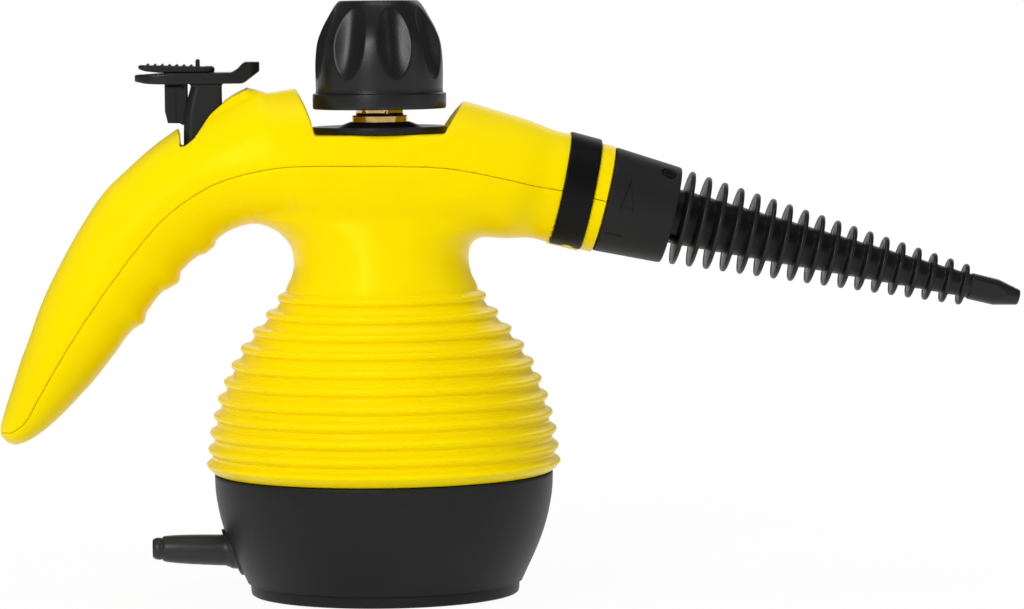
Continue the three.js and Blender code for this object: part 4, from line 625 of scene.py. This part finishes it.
def finger_steps(low):
    """How far the grip's underside stands out, along its lower edge."""
    run = np.concatenate([[0], np.cumsum(np.hypot(*np.diff(low, axis=0).T))])
    near = lambda x, z: run[np.argmin(np.hypot(low[:, 0] - x, low[:, 1] - z))]
    ends = [near(x, z) for x, z in FINGER_CORNERS]
    out = np.zeros(len(run))
    for start, end in zip([ends[0] + STEP_LONG, ends[0], ends[1]], ends):
        f = (start - run) / (start - end)
        drop = np.clip((f - STEP_DROP) / (1 - STEP_DROP), 0, 1)
        saw = STEP_DEEP * np.clip(f, 0, 1) * (1 - drop * drop * (3 - 2 * drop))
        out -= np.where((f > 0) & (f < 1), saw, 0)
    below = STEP_SWELL * np.clip(1 - (ends[2] - run) / 20, 0, 1) ** 1.6
    above = STEP_SWELL * np.clip(1 - (run - ends[0] - 3) / 15, 0, 1)
    out += np.where(run <= ends[2], below, above)
    places = [near(x, z) for x, z, _ in GRIP_SWELL]
    return out + np.interp(run, places, [row[2] for row in GRIP_SWELL], 0, 0)


def loft_places(px, pz, up, low):
    """For each point of the x-z plane, the row of the loft that it lies at, or -1."""
    at = np.full((px.shape[0], pz.shape[1]), -1.0)
    nearest = np.full(at.shape, 1e9)
    last = None
    for k in range(len(up)):
        e = up[k] - low[k]
        c = e[0] * (pz - low[k][1]) - e[1] * (px - low[k][0])
        t = ((px - low[k][0]) * e[0] + (pz - low[k][1]) * e[1]) / (e * e).sum()
        if last is not None:
            off = np.abs((t + last[1]) / 2 - 0.5)
            better = ((c > 0) != (last[0] > 0)) & (off < nearest) & (off < 1.3)
            share = last[0] / np.where(c == last[0], 1, last[0] - c)
            at = np.where(better, k - 1 + np.clip(share, 0, 1), at)
            nearest = np.where(better, off, nearest)
        last = (c, t)
    return at


def arch_field(px, pz, y):
    """The arch from tail to spout: each section is an ellipse whose widest line can lie off its middle."""
    rows = arch_rows()
    up, low = rows[:, 0:2], rows[:, 2:4]
    at = loft_places(px, pz, up, low)
    k = np.clip(at.astype(int), 0, len(rows) - 2)
    f = np.clip(at - k, 0, 1)
    mix = lambda column: column[k] * (1 - f) + column[k + 1] * f
    ux, uz, lx, lz, width, belly = (mix(rows[:, n]) for n in range(6))
    height = np.hypot(ux - lx, uz - lz)
    t = ((px - lx) * (ux - lx) + (pz - lz) * (uz - lz)) / height**2
    p = (t - belly) * height
    half = np.where(p > 0, (1 - belly) * height, belly * height + mix(finger_steps(low)))
    p, half, width = (v.astype(np.float32)[:, None, :] for v in (p, half, width))
    field = ellipse_field(p, y, half, width)
    return np.where((at >= 0)[:, None, :], field, OUTSIDE).astype(np.float32)


def neck_field(x, y, z):
    """The neck from the last rib up into the arch, an ellipse at each height."""
    rows = smooth_rows(NECK, 120)
    level = LAST_RIB + (GRIP_HEIGHT - LAST_RIB) * rows[:, 0]
    left, right, deep = (NECK_RADIUS * np.interp(z[0, 0], level, rows[:, n]).astype(np.float32) for n in (1, 2, 3))
    field = ellipse_field(x, y, np.where(x < 0, left, right), deep)
    return np.maximum(np.maximum(field, LAST_RIB - NECK_SINK - z), z - NECK_END)


def opened(field, x, y, z, flat):
    """The housing with its well and filler hole, and the lever's notch, slot, pocket and pin hole."""
    radius = np.sqrt(x * x + y * y)
    lean = 1.55 - 1.35 * np.clip(x / 33, -1, 1)
    wall = radius - (WELL_RADIUS + lean * (np.clip(ARCH_TOP - z, 0, 30) / WELL_HIGH) ** 1.3)
    field = smax(field, -smax(wall, WELL_FLOOR - z, 1.0), 1.8)
    field = smax(field, -np.maximum(radius - FILLER_HOLE, FILLER_HOLE_FLOOR - z), 0.5)
    field = smin(field, prism(flat(FLANK), np.abs(y) - 9.5, 1.0), 3.0)
    field = smax(field, -flat(NOTCH), 0.7)
    field = smax(field, -flat(DIP), 0.8)
    field = smax(field, -box_field(x, y, z, *SLOT, 1.0), 0.8)
    field = np.maximum(field, -box_field(x, y, z, *POCKET, 1.0))
    pin = np.maximum(np.hypot(x - PIVOT_X, z - PIVOT_Z) - PIN_HOLE, np.abs(y) - PIN_HALF)
    return np.maximum(field, -pin)


def housing_fields(step):
    """The yellow housing's field, and how far each point lies above the seam."""
    axes, x, y, z = grid((-156, -41, 56), (92, 41, 203), step)
    px, pz = axes[0][:, None].astype(float), axes[2][None, :].astype(float)
    flat = lambda points: outline_field(px, pz, points).astype(np.float32)[:, None, :]
    field = opened(smin(arch_field(px, pz, y), neck_field(x, y, z), 4.0), x, y, z, flat)
    line = [(ARCH_REACH * a, ARCH_TOP * b) for a, b in SEAM] + [spout_point(0), spout_point(40)]
    line = [tuple(v) for v in smooth_rows(line, 160)]
    line += [(line[-1][0], 400), (line[0][0], 400)]
    mouth = (x - SPOUT_X) * math.cos(TILT) - (z - SPOUT_Z) * math.sin(TILT)
    return axes, np.maximum(field, mouth), -flat(line)


def part_turned(profile, sides, start, sweep):
    """A closed profile turned through part of a turn, with flat ends."""
    verts, faces = [], []
    n = len(profile)
    for i in range(sides + 1):
        t = start + sweep * i / sides
        verts += [(r * math.cos(t), r * math.sin(t), z) for r, z in profile]
    for i in range(sides):
        for k in range(n):
            a, b = i * n + k, i * n + (k + 1) % n
            faces.append((a, a + n, b + n, b))
    return verts, faces + [tuple(range(n)), tuple(sides * n + k for k in reversed(range(n)))]


def keel():
    """Strip of the housing in the band's opening, with a round boss at each edge."""
    parts = [part_turned(KEEL, 24, -KEEL_HALF, 2 * KEEL_HALF)]
    lay = Matrix.Translation((0, 0, BOSS_AT)) @ Matrix.Rotation(math.pi / 2, 4, "Y")
    for side in (-1, 1):
        parts.append(placed(lathe_mesh(BOSS, 32), Matrix.Rotation(side * KEEL_HALF, 4, "Z") @ lay))
    return joined(parts)


def bell():
    """Ribs: each a round bead that juts out of a wall, with a crease under it."""
    profile = raised(BELL_FOOT, BASE_TOP)
    for i in range(RIBS):
        z = FIRST_RIB + i * RIB_PITCH + (0.5 if i == 0 else 0)
        r = BELL_RADIUS * RIB_SHARES[i]
        below = r if i == 0 else BELL_RADIUS * RIB_SHARES[i - 1]
        above = BELL_RADIUS * RIB_SHARES[i + 1] if i + 1 < RIBS else NECK_RADIUS - 0.2
        down, up = min(below - r, 5), min(r - above, 5)
        if i:
            wall, crease = profile[-1], (r - 1.85 + 0.17 * down, z - 2.45 + 0.15 * down)
            profile.append((crease[0] + 0.2 * (wall[0] - crease[0]), crease[1] + 0.2 * (wall[1] - crease[1])))
            profile.append(crease)
        profile += [(r + out, z + high) for out, high in (BEAD if i else BEAD[2:])]
        profile += [(r - 1.7 - 0.1 * up, z + 1.95 - 0.05 * up), (r - 2.0 - 0.43 * up, z + 2.5)]
    profile += [(NECK_RADIUS - 1.5, LAST_RIB + 5), (0, LAST_RIB + 5)]
    curve = smooth_rows(profile[2:-1], 6 * len(profile))
    curve = [(min(float(r), BELL_RADIUS - 0.02), float(z)) for r, z in curve]
    return lathe_mesh([profile[0], profile[1]] + curve + [profile[-1]], 192)


def housing():
    axes, field, above = housing_fields(0.6)
    tongue = np.maximum(field + TONGUE_IN, above - TONGUE_HIGH)
    lower = np.minimum(smax(field, above + SEAM_GAP, 0.3), tongue)
    upper = np.maximum(smax(field, SEAM_GAP - above, 0.3), 0.1 - tongue)
    front = rounded(SPOUT_FRONT, 4)
    for node, part, way in (("lower_housing", lower, -1), ("top_cover", upper, 1)):
        verts, faces = net(part, axes)
        mouth = part_turned(front, 48, way * math.pi / 2, math.pi)
        pieces = [(settle(verts, faces), faces), placed(mouth, SPOUT @ Matrix.Translation((-way * SPOUT_SEAM, 0, 0)))]
        if part is lower:
            pieces += [bell(), placed(keel(), SPOUT)]
        put(node, *joined(pieces), "housing", yellow, 48)


# Base, foot plate and cord sleeve
def base_radius(z):
    """Outer radius of the base at a height."""
    rows = smooth_rows([(BASE_LOW + (BASE_TOP - BASE_LOW) * up, BASE_RADIUS * out) for up, out in BASE_OUTLINE], 60)
    return float(np.interp(z, rows[:, 0], rows[:, 1]))


def base():
    """Base shell with the rim that the bell fits round, foot plate and screws."""
    outer = [(base_radius(z), float(z)) for z in np.linspace(BASE_LOW + 0.6, BASE_TOP - 0.5, 44)]
    low, top = outer[0][0], outer[-1][0]
    profile = [(BASE_HOLE, BASE_LOW), (low - 0.5, BASE_LOW), (low - 0.1, BASE_LOW + 0.25)] + outer
    profile += [(top - 0.2, BASE_TOP - 0.1), (top - 0.6, BASE_TOP), (RIM_OUT, BASE_TOP), (RIM_OUT, RIM_TOP)]
    profile += [(RIM_IN, RIM_TOP), (RIM_IN, 44)] + [(base_radius(z) - BASE_WALL, z) for z in (40, 34, 28, 22, 16, 11)]
    profile.append((BASE_HOLE, BASE_LOW + BASE_WALL))
    lathe("base_shell", profile, "housing", matt_black, 160)
    hole = lathe_mesh([(0, -2), (SCREW_HOLE, -2), (SCREW_HOLE, 2.9), (0, 2.9)], 32)
    places = [Matrix.Translation((SCREW_CIRCLE * c, SCREW_CIRCLE * s, 0)) for c, s in circle(SCREWS)]
    lathe("base_plate", FOOT_PLATE, "housing", matt_black, 160, False, [placed(hole, place) for place in places])
    for number, place in enumerate(places, 1):
        carved("base_screw_%d" % number, (-4, -4, -3.2), (4, 4, -0.2), 0.14, screw_field(3.4, -2.6, -0.6),
               "housing", steel, place @ Matrix.Rotation(math.pi, 4, "X"), 1)


def screw_field(radius, low, high):
    """Flat round head with a cross slot, standing on the z axis."""
    def shape(x, y, z):
        head = prism(np.hypot(x, y) - radius, np.abs(z - (low + high) / 2) - (high - low) / 2, 0.25)
        slot = lambda a, b: np.maximum(np.abs(a) - 0.62 * radius, np.abs(b) - 0.13 * radius)
        cross = np.maximum(np.minimum(slot(x, y), slot(y, x)), high - 0.3 * radius - z)
        return smax(head, -cross, 0.12)
    return shape


def sleeve():
    """Cord sleeve: a tapered round sleeve with a collar at its end, and a plate that follows the base."""
    root = base_radius(SLEEVE_Z) - SLEEVE_SINK
    length = SLEEVE_END - root
    profile = list(SLEEVE_FOOT)
    rows, start, collar = 26, 3.4, 4.4
    for k in range(rows):
        f = k / (rows - 1)
        profile.append((float(np.interp(f, *SLEEVE_SHAPE)), start + (length - start - collar) * f))
    verts, faces = lathe_mesh(profile + raised(SLEEVE_COLLAR, length), 56, True)
    bent = [(-root - s, y, SLEEVE_Z - x + 0.7 + 1.2 * max(s, 0) / length) for x, y, s in verts]
    around = 72
    levels = [(0.0, 1.0), (0.5, 1.0), (0.92, 1.0), (0.97, 0.9), (1.0, 0.6), (1.0, -0.6), (0.5, -0.6), (0.0, -0.6)]
    plate = []
    for share, lift in levels:
        for c, s in circle(around):
            y, z = SLEEVE_PLATE * share * c, SLEEVE_Z + SLEEVE_PLATE * share * s
            r = base_radius(z) + lift + 0.3
            plate.append((-math.sqrt(r * r - y * y), y, z))
    foot = plate, rings_of(len(levels), around, False)
    put("cord_sleeve", *joined([(bent, faces), foot]), "housing", sleeve_rubber)


# Safety cap, its plug and the filler
def cap():
    """Cap shell: a turned profile with flutes scooped out of its outside."""
    skirt = rounded([(r, CAP_BOTTOM + up, corner) for r, up, corner in CAP_SKIRT], 5)
    outline = [(CAP_RADIUS * out, CAP_BOTTOM + CAP_HEIGHT * up) for up, out in CAP_OUTLINE]
    dome = [tuple(v) for v in smooth_rows(outline, 120)]
    top = rounded([(*dome[-1], 0), (15.3, CAP_LID - 0.13, 1.6), (11, CAP_LID, 3), (0, CAP_LID, 0)], 8)
    outer = skirt + [p for p in dome if p[1] > CAP_BOTTOM + 8.3] + top[1:]
    sides = 448
    verts, faces = lathe_mesh(outer + raised(CAP_INSIDE, CAP_BOTTOM), sides, True)
    at = np.array(verts)
    r, turn = np.hypot(at[:, 0], at[:, 1]), np.arctan2(at[:, 1], at[:, 0])
    count = len(lathe_mesh(outer, sides)[0])
    sector = 2 * math.pi / FLUTES
    phi = (turn - FLUTE_TURN + sector / 2) % sector - sector / 2
    room = np.maximum(1 - ((at[:, 2] - FLUTE_Z) / FLUTE_HALF) ** 2, 0)
    across = np.abs(r * np.sin(phi)) / (FLUTE_WIDE * np.maximum(room, 1e-6) ** 0.55)
    scoop = np.where(across < 1.5, r - FLUTE_DEEP * room * (1 - across**2), 99.0)
    new = np.where((np.arange(len(at)) < count) & (r > 1), smin(r, scoop, 0.25), r)
    at[:, :2] *= np.where(r > 1e-6, new / np.maximum(r, 1e-6), 1)[:, None]
    put("cap_shell", at, faces, "cap_knob", black, 50)


def hexagon(width, low, high, bevel, turn):
    """Hexagon of that width across its flats, its corners turned off at both ends."""
    half, count = width / 2, 96
    verts = []
    levels = [(low, -bevel), (low + bevel * 0.6, 0.0), (high - bevel * 0.6, 0.0), (high, -bevel)]
    for z, grow in levels:
        for i in range(count):
            t = 2 * math.pi * i / count
            off = (t + math.pi / 6) % (math.pi / 3) - math.pi / 6
            reach = min(half / math.cos(off), half * 1.12, half * 1.135 + grow)
            verts.append((reach * math.cos(t + turn), reach * math.sin(t + turn), z))
    return verts, rings_of(len(levels), count)


def thread(radius, depth, low, high, sides=48):
    """Open wall of a screw thread, its crests at the radius."""
    rows = int((high - low) / THREAD_PITCH * 6)
    verts = []
    for k in range(rows + 1):
        z = low + (high - low) * k / rows
        fade = min(1, k / 4, (rows - k) / 4)
        for i, (c, s) in enumerate(circle(sides)):
            phase = (z / THREAD_PITCH - i / sides) % 1
            groove = depth * min(1, max(0, 1.6 * abs(2 * phase - 1) - 0.3))
            r = radius - depth + (depth - groove) * fade
            verts.append((r * c, r * s, z))
    return verts, rings_of(rows + 1, sides, False)


def plug():
    nut = hexagon(16.7, PLUG_HEX + 0.3, PLUG_HEX + 5.1, 0.45, PLUG_TURN)
    parts = [lathe_mesh(raised(STUD, PLUG_LOW), 40), thread(6.3, 0.85, PLUG_LOW, PLUG_HEX), nut]
    parts += [lathe_mesh(raised(row, PLUG_HEX), 64) for row in (COLLAR, SHANK)]
    put("cap_plug", *joined(parts), "cap_plug_body", brass, 30)


def filler():
    outside = lathe_mesh(FILLER_TUBE + raised(FILLER_FLANGE, NECK_FLANGE), 96)
    inside = thread(7.7, 0.75, 172, NECK_FLANGE + 2.0)
    put("filler_neck", *joined([outside, inside, lathe_mesh([(6.95, 172), (6.9, 111.3)], 48)]), "housing", brass, 30)
    lathe("filler_tray", rounded(DISH, 5), "housing", tray_black, 128)
    lathe("cap_retainer", rounded(RETAINER, 3), "cap_knob", deep_black, 96)


def spring(node, body, x_at, radius, fixed, free, turns):
    """Coil of round wire, from its fixed end to its free end."""
    wire, sides, steps = 0.5, 12, turns * 40
    low, high = sorted((fixed, free))
    verts = []
    for k in range(steps + 1):
        share = k / steps
        turn = 2 * math.pi * turns * share
        z = low + wire + (high - low - 2 * wire) * share
        for c, s in circle(sides):
            r = radius + wire * c
            verts.append((x_at + r * math.cos(turn), r * math.sin(turn), z + wire * s))
    piece = put(node, verts, rings_of(steps + 1, sides), body, steel, 60)
    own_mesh(piece)


# Thumb lever and its lock
def lever_field(x, y, z):
    """Thumb plate with a turned-up front, its hollow post, and the arm to the pin."""
    outline = [(LEVER_X + LEVER_LONG * a, LEVER_Z + LEVER_HIGH * b, 0.5) for a, b in LEVER]
    plan = ellipse_field(x - LEVER_X - PLATE_MIDDLE, y, 25.7, 13.0)
    plan = smax(plan, np.abs(y) - 10, 2.5)
    plate = prism(side_field(x, z, rounded(outline, 3)), plan + 0 * z, 0.5)
    rear = np.interp(z, [176.8, 185.3, 190.9, 196.4, 201.5], [-77.5, -77.35, -76.8, -75.6, -74.2])
    middle, half = (rear + POST_FRONT) / 2, (POST_FRONT - rear) / 2
    post = prism(np.abs(x - middle) - half, np.abs(y) - 8, np.where(x < middle, 4.0, 1.2))
    post = smax(smax(post, POST_LOW - z, 1.0), z - 203.5, 0.3)
    post = smax(post, -box_field(x, y, z, (-90, -5.3, 175.6), (-66, 5.3, 203), 0.8), 0.7)
    arm = box_field(x, y, z, (-67, -6.1, 185.7), (PIVOT_X, 6.1, 192.3), 0.8)
    from_pin = np.hypot(x - PIVOT_X, z - PIVOT_Z)
    knuckle = prism(from_pin - 3.3, np.abs(y) - 8, 0.5)
    made = np.minimum(smin(plate, post, 1.2), smin(arm, knuckle, 1.0))
    made = smax(made, -box_field(x, y, z, (-84.5, -5.0, 195.5), (-69.6, 5.0, 215), 0.5), 0.5)
    return np.maximum(made, PIN_HOLE - from_pin)


def lock_field(x, y, z):
    """Slider with teeth, nub and lip on top, and a tongue that goes down through the lever's plate."""
    low = LEVER_TOP + 0.12
    outline = [(LOCK_X + LOCK_LONG * a, low + LOCK_HIGH * b, 0.6) for a, b in LOCK]
    plan = prism(np.abs(x - LOCK_X - LOCK_LONG / 2) - LOCK_LONG / 2, np.abs(y) - 7, 4)
    made = prism(side_field(x, z, rounded(outline, 3)), plan + 0 * z, 0.4)
    top = low + LOCK_HIGH - 0.87 * (x - LOCK_X) / LOCK_LONG
    for i in range(LOCK_TEETH):
        at = LOCK_X + 4.0 + 2.82 * i
        tooth = np.maximum((1.1 * np.abs(x - at) + (z - top) - 0.85) / 1.49, np.abs(y) - 5.6)
        made = np.minimum(made, np.maximum(tooth, top - 1 - z))
    nub = box_field(x, y, z, (LOCK_X + 22.6, -3.4, low + 1), (LOCK_X + 24.3, 3.4, low + 5.2), 0.75)
    lip = box_field(x, y, z, (LOCK_X + 26.0, -5.4, low + 1), (LOCK_X + 29.4, 5.4, low + 2.4), 0.6)
    made = smin(smin(made, nub, 0.15), lip, 0.5)
    tongue = [(-83.1, 186.5), (-78.4, 186.4), (-77.4, 185.7), (-75.2, 186.2), (-75.2, low + 1), (-84.2, low + 1),
              (-84.2, 191.2)]
    tongue = prism(side_field(x, z, tongue), np.abs(y) - 4.4 + 0 * x, 0.5)
    groove = box_field(x, np.abs(y), z, (-79.6, 4.2, 182), (-70, 9, 199), 0.15)
    flange = box_field(x, y, z, (-83.5, -4.8, 199.6), (-76.8, 4.8, 201.1), 0.4)
    return np.minimum(made, np.minimum(smax(tongue, -groove, 0.4), flange))


# Spout band, connector and hose, each along the spout's axis
def band_field(x, y, z):
    """Band whose edges lean a little, open underneath with a round bite in each end."""
    r = np.hypot(x + 0.4, y)
    outer = BAND_OUTER - 0.03 * z
    edges = np.maximum(BAND_ENDS[0] + BAND_LEAN * x - z, z - BAND_ENDS[1] - BAND_LEAN * x)
    ring = prism(np.abs(r - (outer + BAND_INNER) / 2) - (outer - BAND_INNER) / 2, edges, 0.6)
    turn = np.abs(np.arctan2(y, x))
    under = np.where(x > 0, np.maximum(turn - BAND_OPEN_HALF, 0 * z) * r - 0.01, 9.0)
    bite = np.where(x > 0, np.hypot((turn - KEEL_HALF) * 22, z - BOSS_AT) - 2.4, 9.0)
    return smax(smax(ring, -under, 0.4), -bite, 0.4)


def connector_radius(along):
    """Radius of the connector's tapered side."""
    return 20.7 - 1.6 * (along - 17.6) / 27


def stamp(outline, depth, parts=6):
    """Cutter for a shallow recess in the connector's side that faces -y."""
    flat = []
    for i, a in enumerate(outline):
        b = outline[(i + 1) % len(outline)]
        flat += [(a[0] + (b[0] - a[0]) * k / parts, a[1] + (b[1] - a[1]) * k / parts) for k in range(parts)]
    verts = []
    for out in (0, 3):
        for along, up in flat:
            r = connector_radius(along) - depth + out
            verts.append((-up * r / (r - out if out else r), -math.sqrt(max(r * r - up * up, 1)), along))
    return verts, rings_of(2, len(flat))


def connector():
    v, f = lathe_mesh(rounded(CONNECTOR, 6), 200, True)
    v = [(x - 0.35 * min(max((44.6 - z) / 27, 0), 1), y, z) for x, y, z in v]
    r = connector_radius(SCREW_AT)
    turn = Matrix.Rotation(SCREW_TURN, 4, "Z") @ Matrix.Rotation(math.pi / 2, 4, "Y")
    turn = Matrix.Translation((0, 0, SCREW_AT)) @ turn
    pocket = placed(lathe_mesh([(0, r - 0.55), (3.1, r - 0.55), (3.25, r + 0.6), (3.25, r + 2), (0, r + 2)], 48), turn)
    put("hose_connector", v, f, "hose", matt_black, 32, SPOUT, [stamp(ARROW, 0.22), stamp(MARK, 0.25), pocket])
    carved("connector_screw", (-3, -3, r - 1.2), (3, 3, r + 0.6), 0.11, screw_field(2.55, r - 1.0, r + 0.05),
           "hose", deep_black, SPOUT @ turn, 1)


def hose():
    """Hose cover: ribs on a core, both of them thinner towards the tip."""
    profile = [(4.6, 39.3), (14, 39.3), (14, 41.9), (HOSE_CORE, 41.9)]
    for i in range(HOSE_RIBS):
        share = i / (HOSE_RIBS - 1)
        m = HOSE_FIRST + HOSE_PITCH * i
        rib, core = HOSE_RIB - HOSE_RIB_LOSS * share, HOSE_CORE - HOSE_CORE_LOSS * share
        web = min(1.0, 0.42 * (rib - core))
        bead = [(core, m - 1.9), (core + web * 0.35, m - 1.15), (rib - 2.3, m - 0.72), (rib - 1.3, m - 0.86),
                (rib - 0.6, m - 0.92), (rib - 0.14, m - 0.58), (rib, m)]
        profile += bead + [(a, 2 * m - b) for a, b in reversed(bead[:-1])]
    end = HOSE_END + 3
    curve = [(float(a), float(b)) for a, b in smooth_rows(profile[3:], 5 * len(profile)) if b < end - 0.4]
    profile = profile[:3] + curve + [(4.9, end - 0.3), (4.6, end), (3.6, end), (4.0, (HOSE_FIRST + end) / 2)]
    verts, faces = lathe_mesh(profile, 112, True)
    lug = lathe_mesh([(0, 43.9), (0.9, 43.9), (0.9, 47.8), (0.6, 48.2), (0, 48.2)], 20)
    lug = [(x + 8.6, 1.3 * y - 7.6, z) for x, y, z in lug[0]], lug[1]
    put("hose_cover", *joined([(verts, faces), lug]), "hose", rubber, 60, SPOUT)


def tip_field(x, y, z):
    """Tapered tip with a long flat recess on each side."""
    s = (z - TIP_START) * 1.03
    r = np.hypot(x, y)
    radius = np.interp(s, [0, 11.2, 20.6, 21.6], [5.3, 5.2, 3.05, 2.8]).astype(np.float32)
    body = smax(smax(r - radius, -s + 0.0 * r, 0.5), s - 21, 0.8)
    half = 3.0
    recess = np.hypot(s - np.clip(s, 1.2, 15.6 - half), x) - half
    body = smax(body, -np.maximum(recess, 4.2 - np.abs(y)), 0.2)
    return smax(body, -np.where(s < 4, r - 3.3, r - 1.1), 0.2)


housing()
base()
sleeve()
cap()
plug()
filler()
spring("cap_spring", "cap_plug_body", 0, radius=6, fixed=205.8, free=230.5, turns=4)
spring("valve_spring", "valve", -74.5, radius=3.7, fixed=168.05, free=159.6, turns=3)
carved("trigger_lever", (-98, -11, 170), (-46, 11, 211), 0.4, lever_field, "trigger", lever_black)
carved("lock_slider", (-96, -8, 185), (-64.5, 8, 212), 0.27, lock_field, "lock", lever_black, None, 1)
carved("nozzle_band", (-24, -24, -2), (24, 24, 13.4), 0.42, band_field, "housing", deep_black, SPOUT)
connector()
hose()
carved("hose_tip", (-6, -6, 165.8), (6, 6, 188.6), 0.24, tip_field, "hose", black, SPOUT, 1)

# Lamps: place and aim in metres, size, power in watts
LAMPS = {
    "key": ((-0.75, -1.7, 0.95), (0, 0, 0.12), (0.4, 0.9), 16),
    "fill": ((1.7, -0.9, 0.7), (0.05, 0, 0.1), (0.5, 0.9), 1.2),
    "top": ((0.0, -0.2, 1.9), (0.05, 0, 0.1), (1.1, 0.8), 6),
    "back": ((0.4, 1.6, 1.0), (0.05, 0, 0.12), (1.6, 0.8), 4),
}
WORLD_LIGHT = 0.52
FLOOR_COLOUR = 0.9
FLOOR_BELOW = 0.0002

for name, (place, aim, size, power) in LAMPS.items():
    lamp = bpy.data.lights.new(name, "AREA")
    lamp.shape = "RECTANGLE"
    lamp.size, lamp.size_y = size
    lamp.energy = power
    obj = bpy.data.objects.new(name, lamp)
    obj.location = place
    obj.rotation_euler = (Vector(aim) - Vector(place)).to_track_quat("-Z", "Y").to_euler()
    bpy.context.scene.collection.objects.link(obj)


# World and floor
def seen_directly(tree):
    """1 for camera, glossy and transmission rays, 0 for the light that falls on the object."""
    rays = add(tree, "ShaderNodeLightPath")
    total = rays.outputs["Is Camera Ray"]
    for name in ("Is Glossy Ray", "Is Transmission Ray"):
        most = add(tree, "ShaderNodeMath")
        most.operation = "MAXIMUM"
        tree.links.new(total, most.inputs[0])
        tree.links.new(rays.outputs[name], most.inputs[1])
        total = most.outputs[0]
    return total


def mixed(tree, share, first, second):
    mix = add(tree, "ShaderNodeMixShader")
    for source, socket in zip((share, first, second), mix.inputs):
        tree.links.new(source, socket)
    return mix.outputs[0]


def background(tree, strength=1.0):
    return add(tree, "ShaderNodeBackground", (("Color", (1, 1, 1, 1)), ("Strength", strength)))


world = bpy.data.worlds.new("studio")
bpy.context.scene.world = world
world.use_nodes = True
tree = world.node_tree
tree.nodes.remove(tree.nodes["Background"])
light, white, room = background(tree, WORLD_LIGHT), background(tree), background(tree)
split = add(tree, "ShaderNodeSeparateXYZ")
tree.links.new(add(tree, "ShaderNodeTexCoord").outputs["Generated"], split.inputs[0])
tree.links.new(ramp(tree, split.outputs["Y"], 0.16, 1.0, 0.93, 0.995), room.inputs["Strength"])
camera_ray = add(tree, "ShaderNodeLightPath").outputs["Is Camera Ray"]
seen = mixed(tree, camera_ray, room.outputs[0], white.outputs[0])
whole = mixed(tree, seen_directly(tree), light.outputs[0], seen)
tree.links.new(whole, tree.nodes["World Output"].inputs["Surface"])

bpy.ops.mesh.primitive_plane_add(size=60)
floor = bpy.context.active_object
floor.name = "floor"
floor.location.z = -FLOOR_BELOW
paper = bpy.data.materials.new("paper")
paper.use_nodes = True
tree = paper.node_tree
bsdf = tree.nodes["Principled BSDF"]
bsdf.inputs["Base Color"].default_value = (FLOOR_COLOUR, FLOOR_COLOUR, FLOOR_COLOUR, 1)
bsdf.inputs["Roughness"].default_value = 0.8
glow = add(tree, "ShaderNodeEmission")
span = add(tree, "ShaderNodeVectorMath")
span.operation = "LENGTH"
tree.links.new(add(tree, "ShaderNodeTexCoord").outputs["Object"], span.inputs[0])
share = add(tree, "ShaderNodeMath")
share.operation = "MULTIPLY"
tree.links.new(seen_directly(tree), share.inputs[0])
tree.links.new(ramp(tree, span.outputs["Value"], 0.95, 1.0, 0.2, 0.7), share.inputs[1])
whole = mixed(tree, share.outputs[0], bsdf.outputs[0], glow.outputs[0])
tree.links.new(whole, tree.nodes["Material Output"].inputs["Surface"])
floor.data.materials.append(paper)

# Camera
AIM = Vector((0.05134, 0, 0.11322))
FORWARD = Vector((0.048, 0.9965, -0.0680)).normalized()
DISTANCE = 1.876
LENS = 166.97
ROLL = math.radians(-0.6)

lens = bpy.data.cameras.new("camera")
lens.sensor_width = 36
lens.lens = LENS
camera = bpy.data.objects.new("camera", lens)
camera.location = AIM - FORWARD * DISTANCE
turn = FORWARD.to_track_quat("-Z", "Y").to_matrix().to_4x4()
camera.matrix_world = Matrix.Translation(camera.location) @ turn @ Matrix.Rotation(ROLL, 4, "Z")
bpy.context.scene.collection.objects.link(camera)
bpy.context.scene.camera = camera
bpy.context.scene.view_settings.view_transform = "Standard"
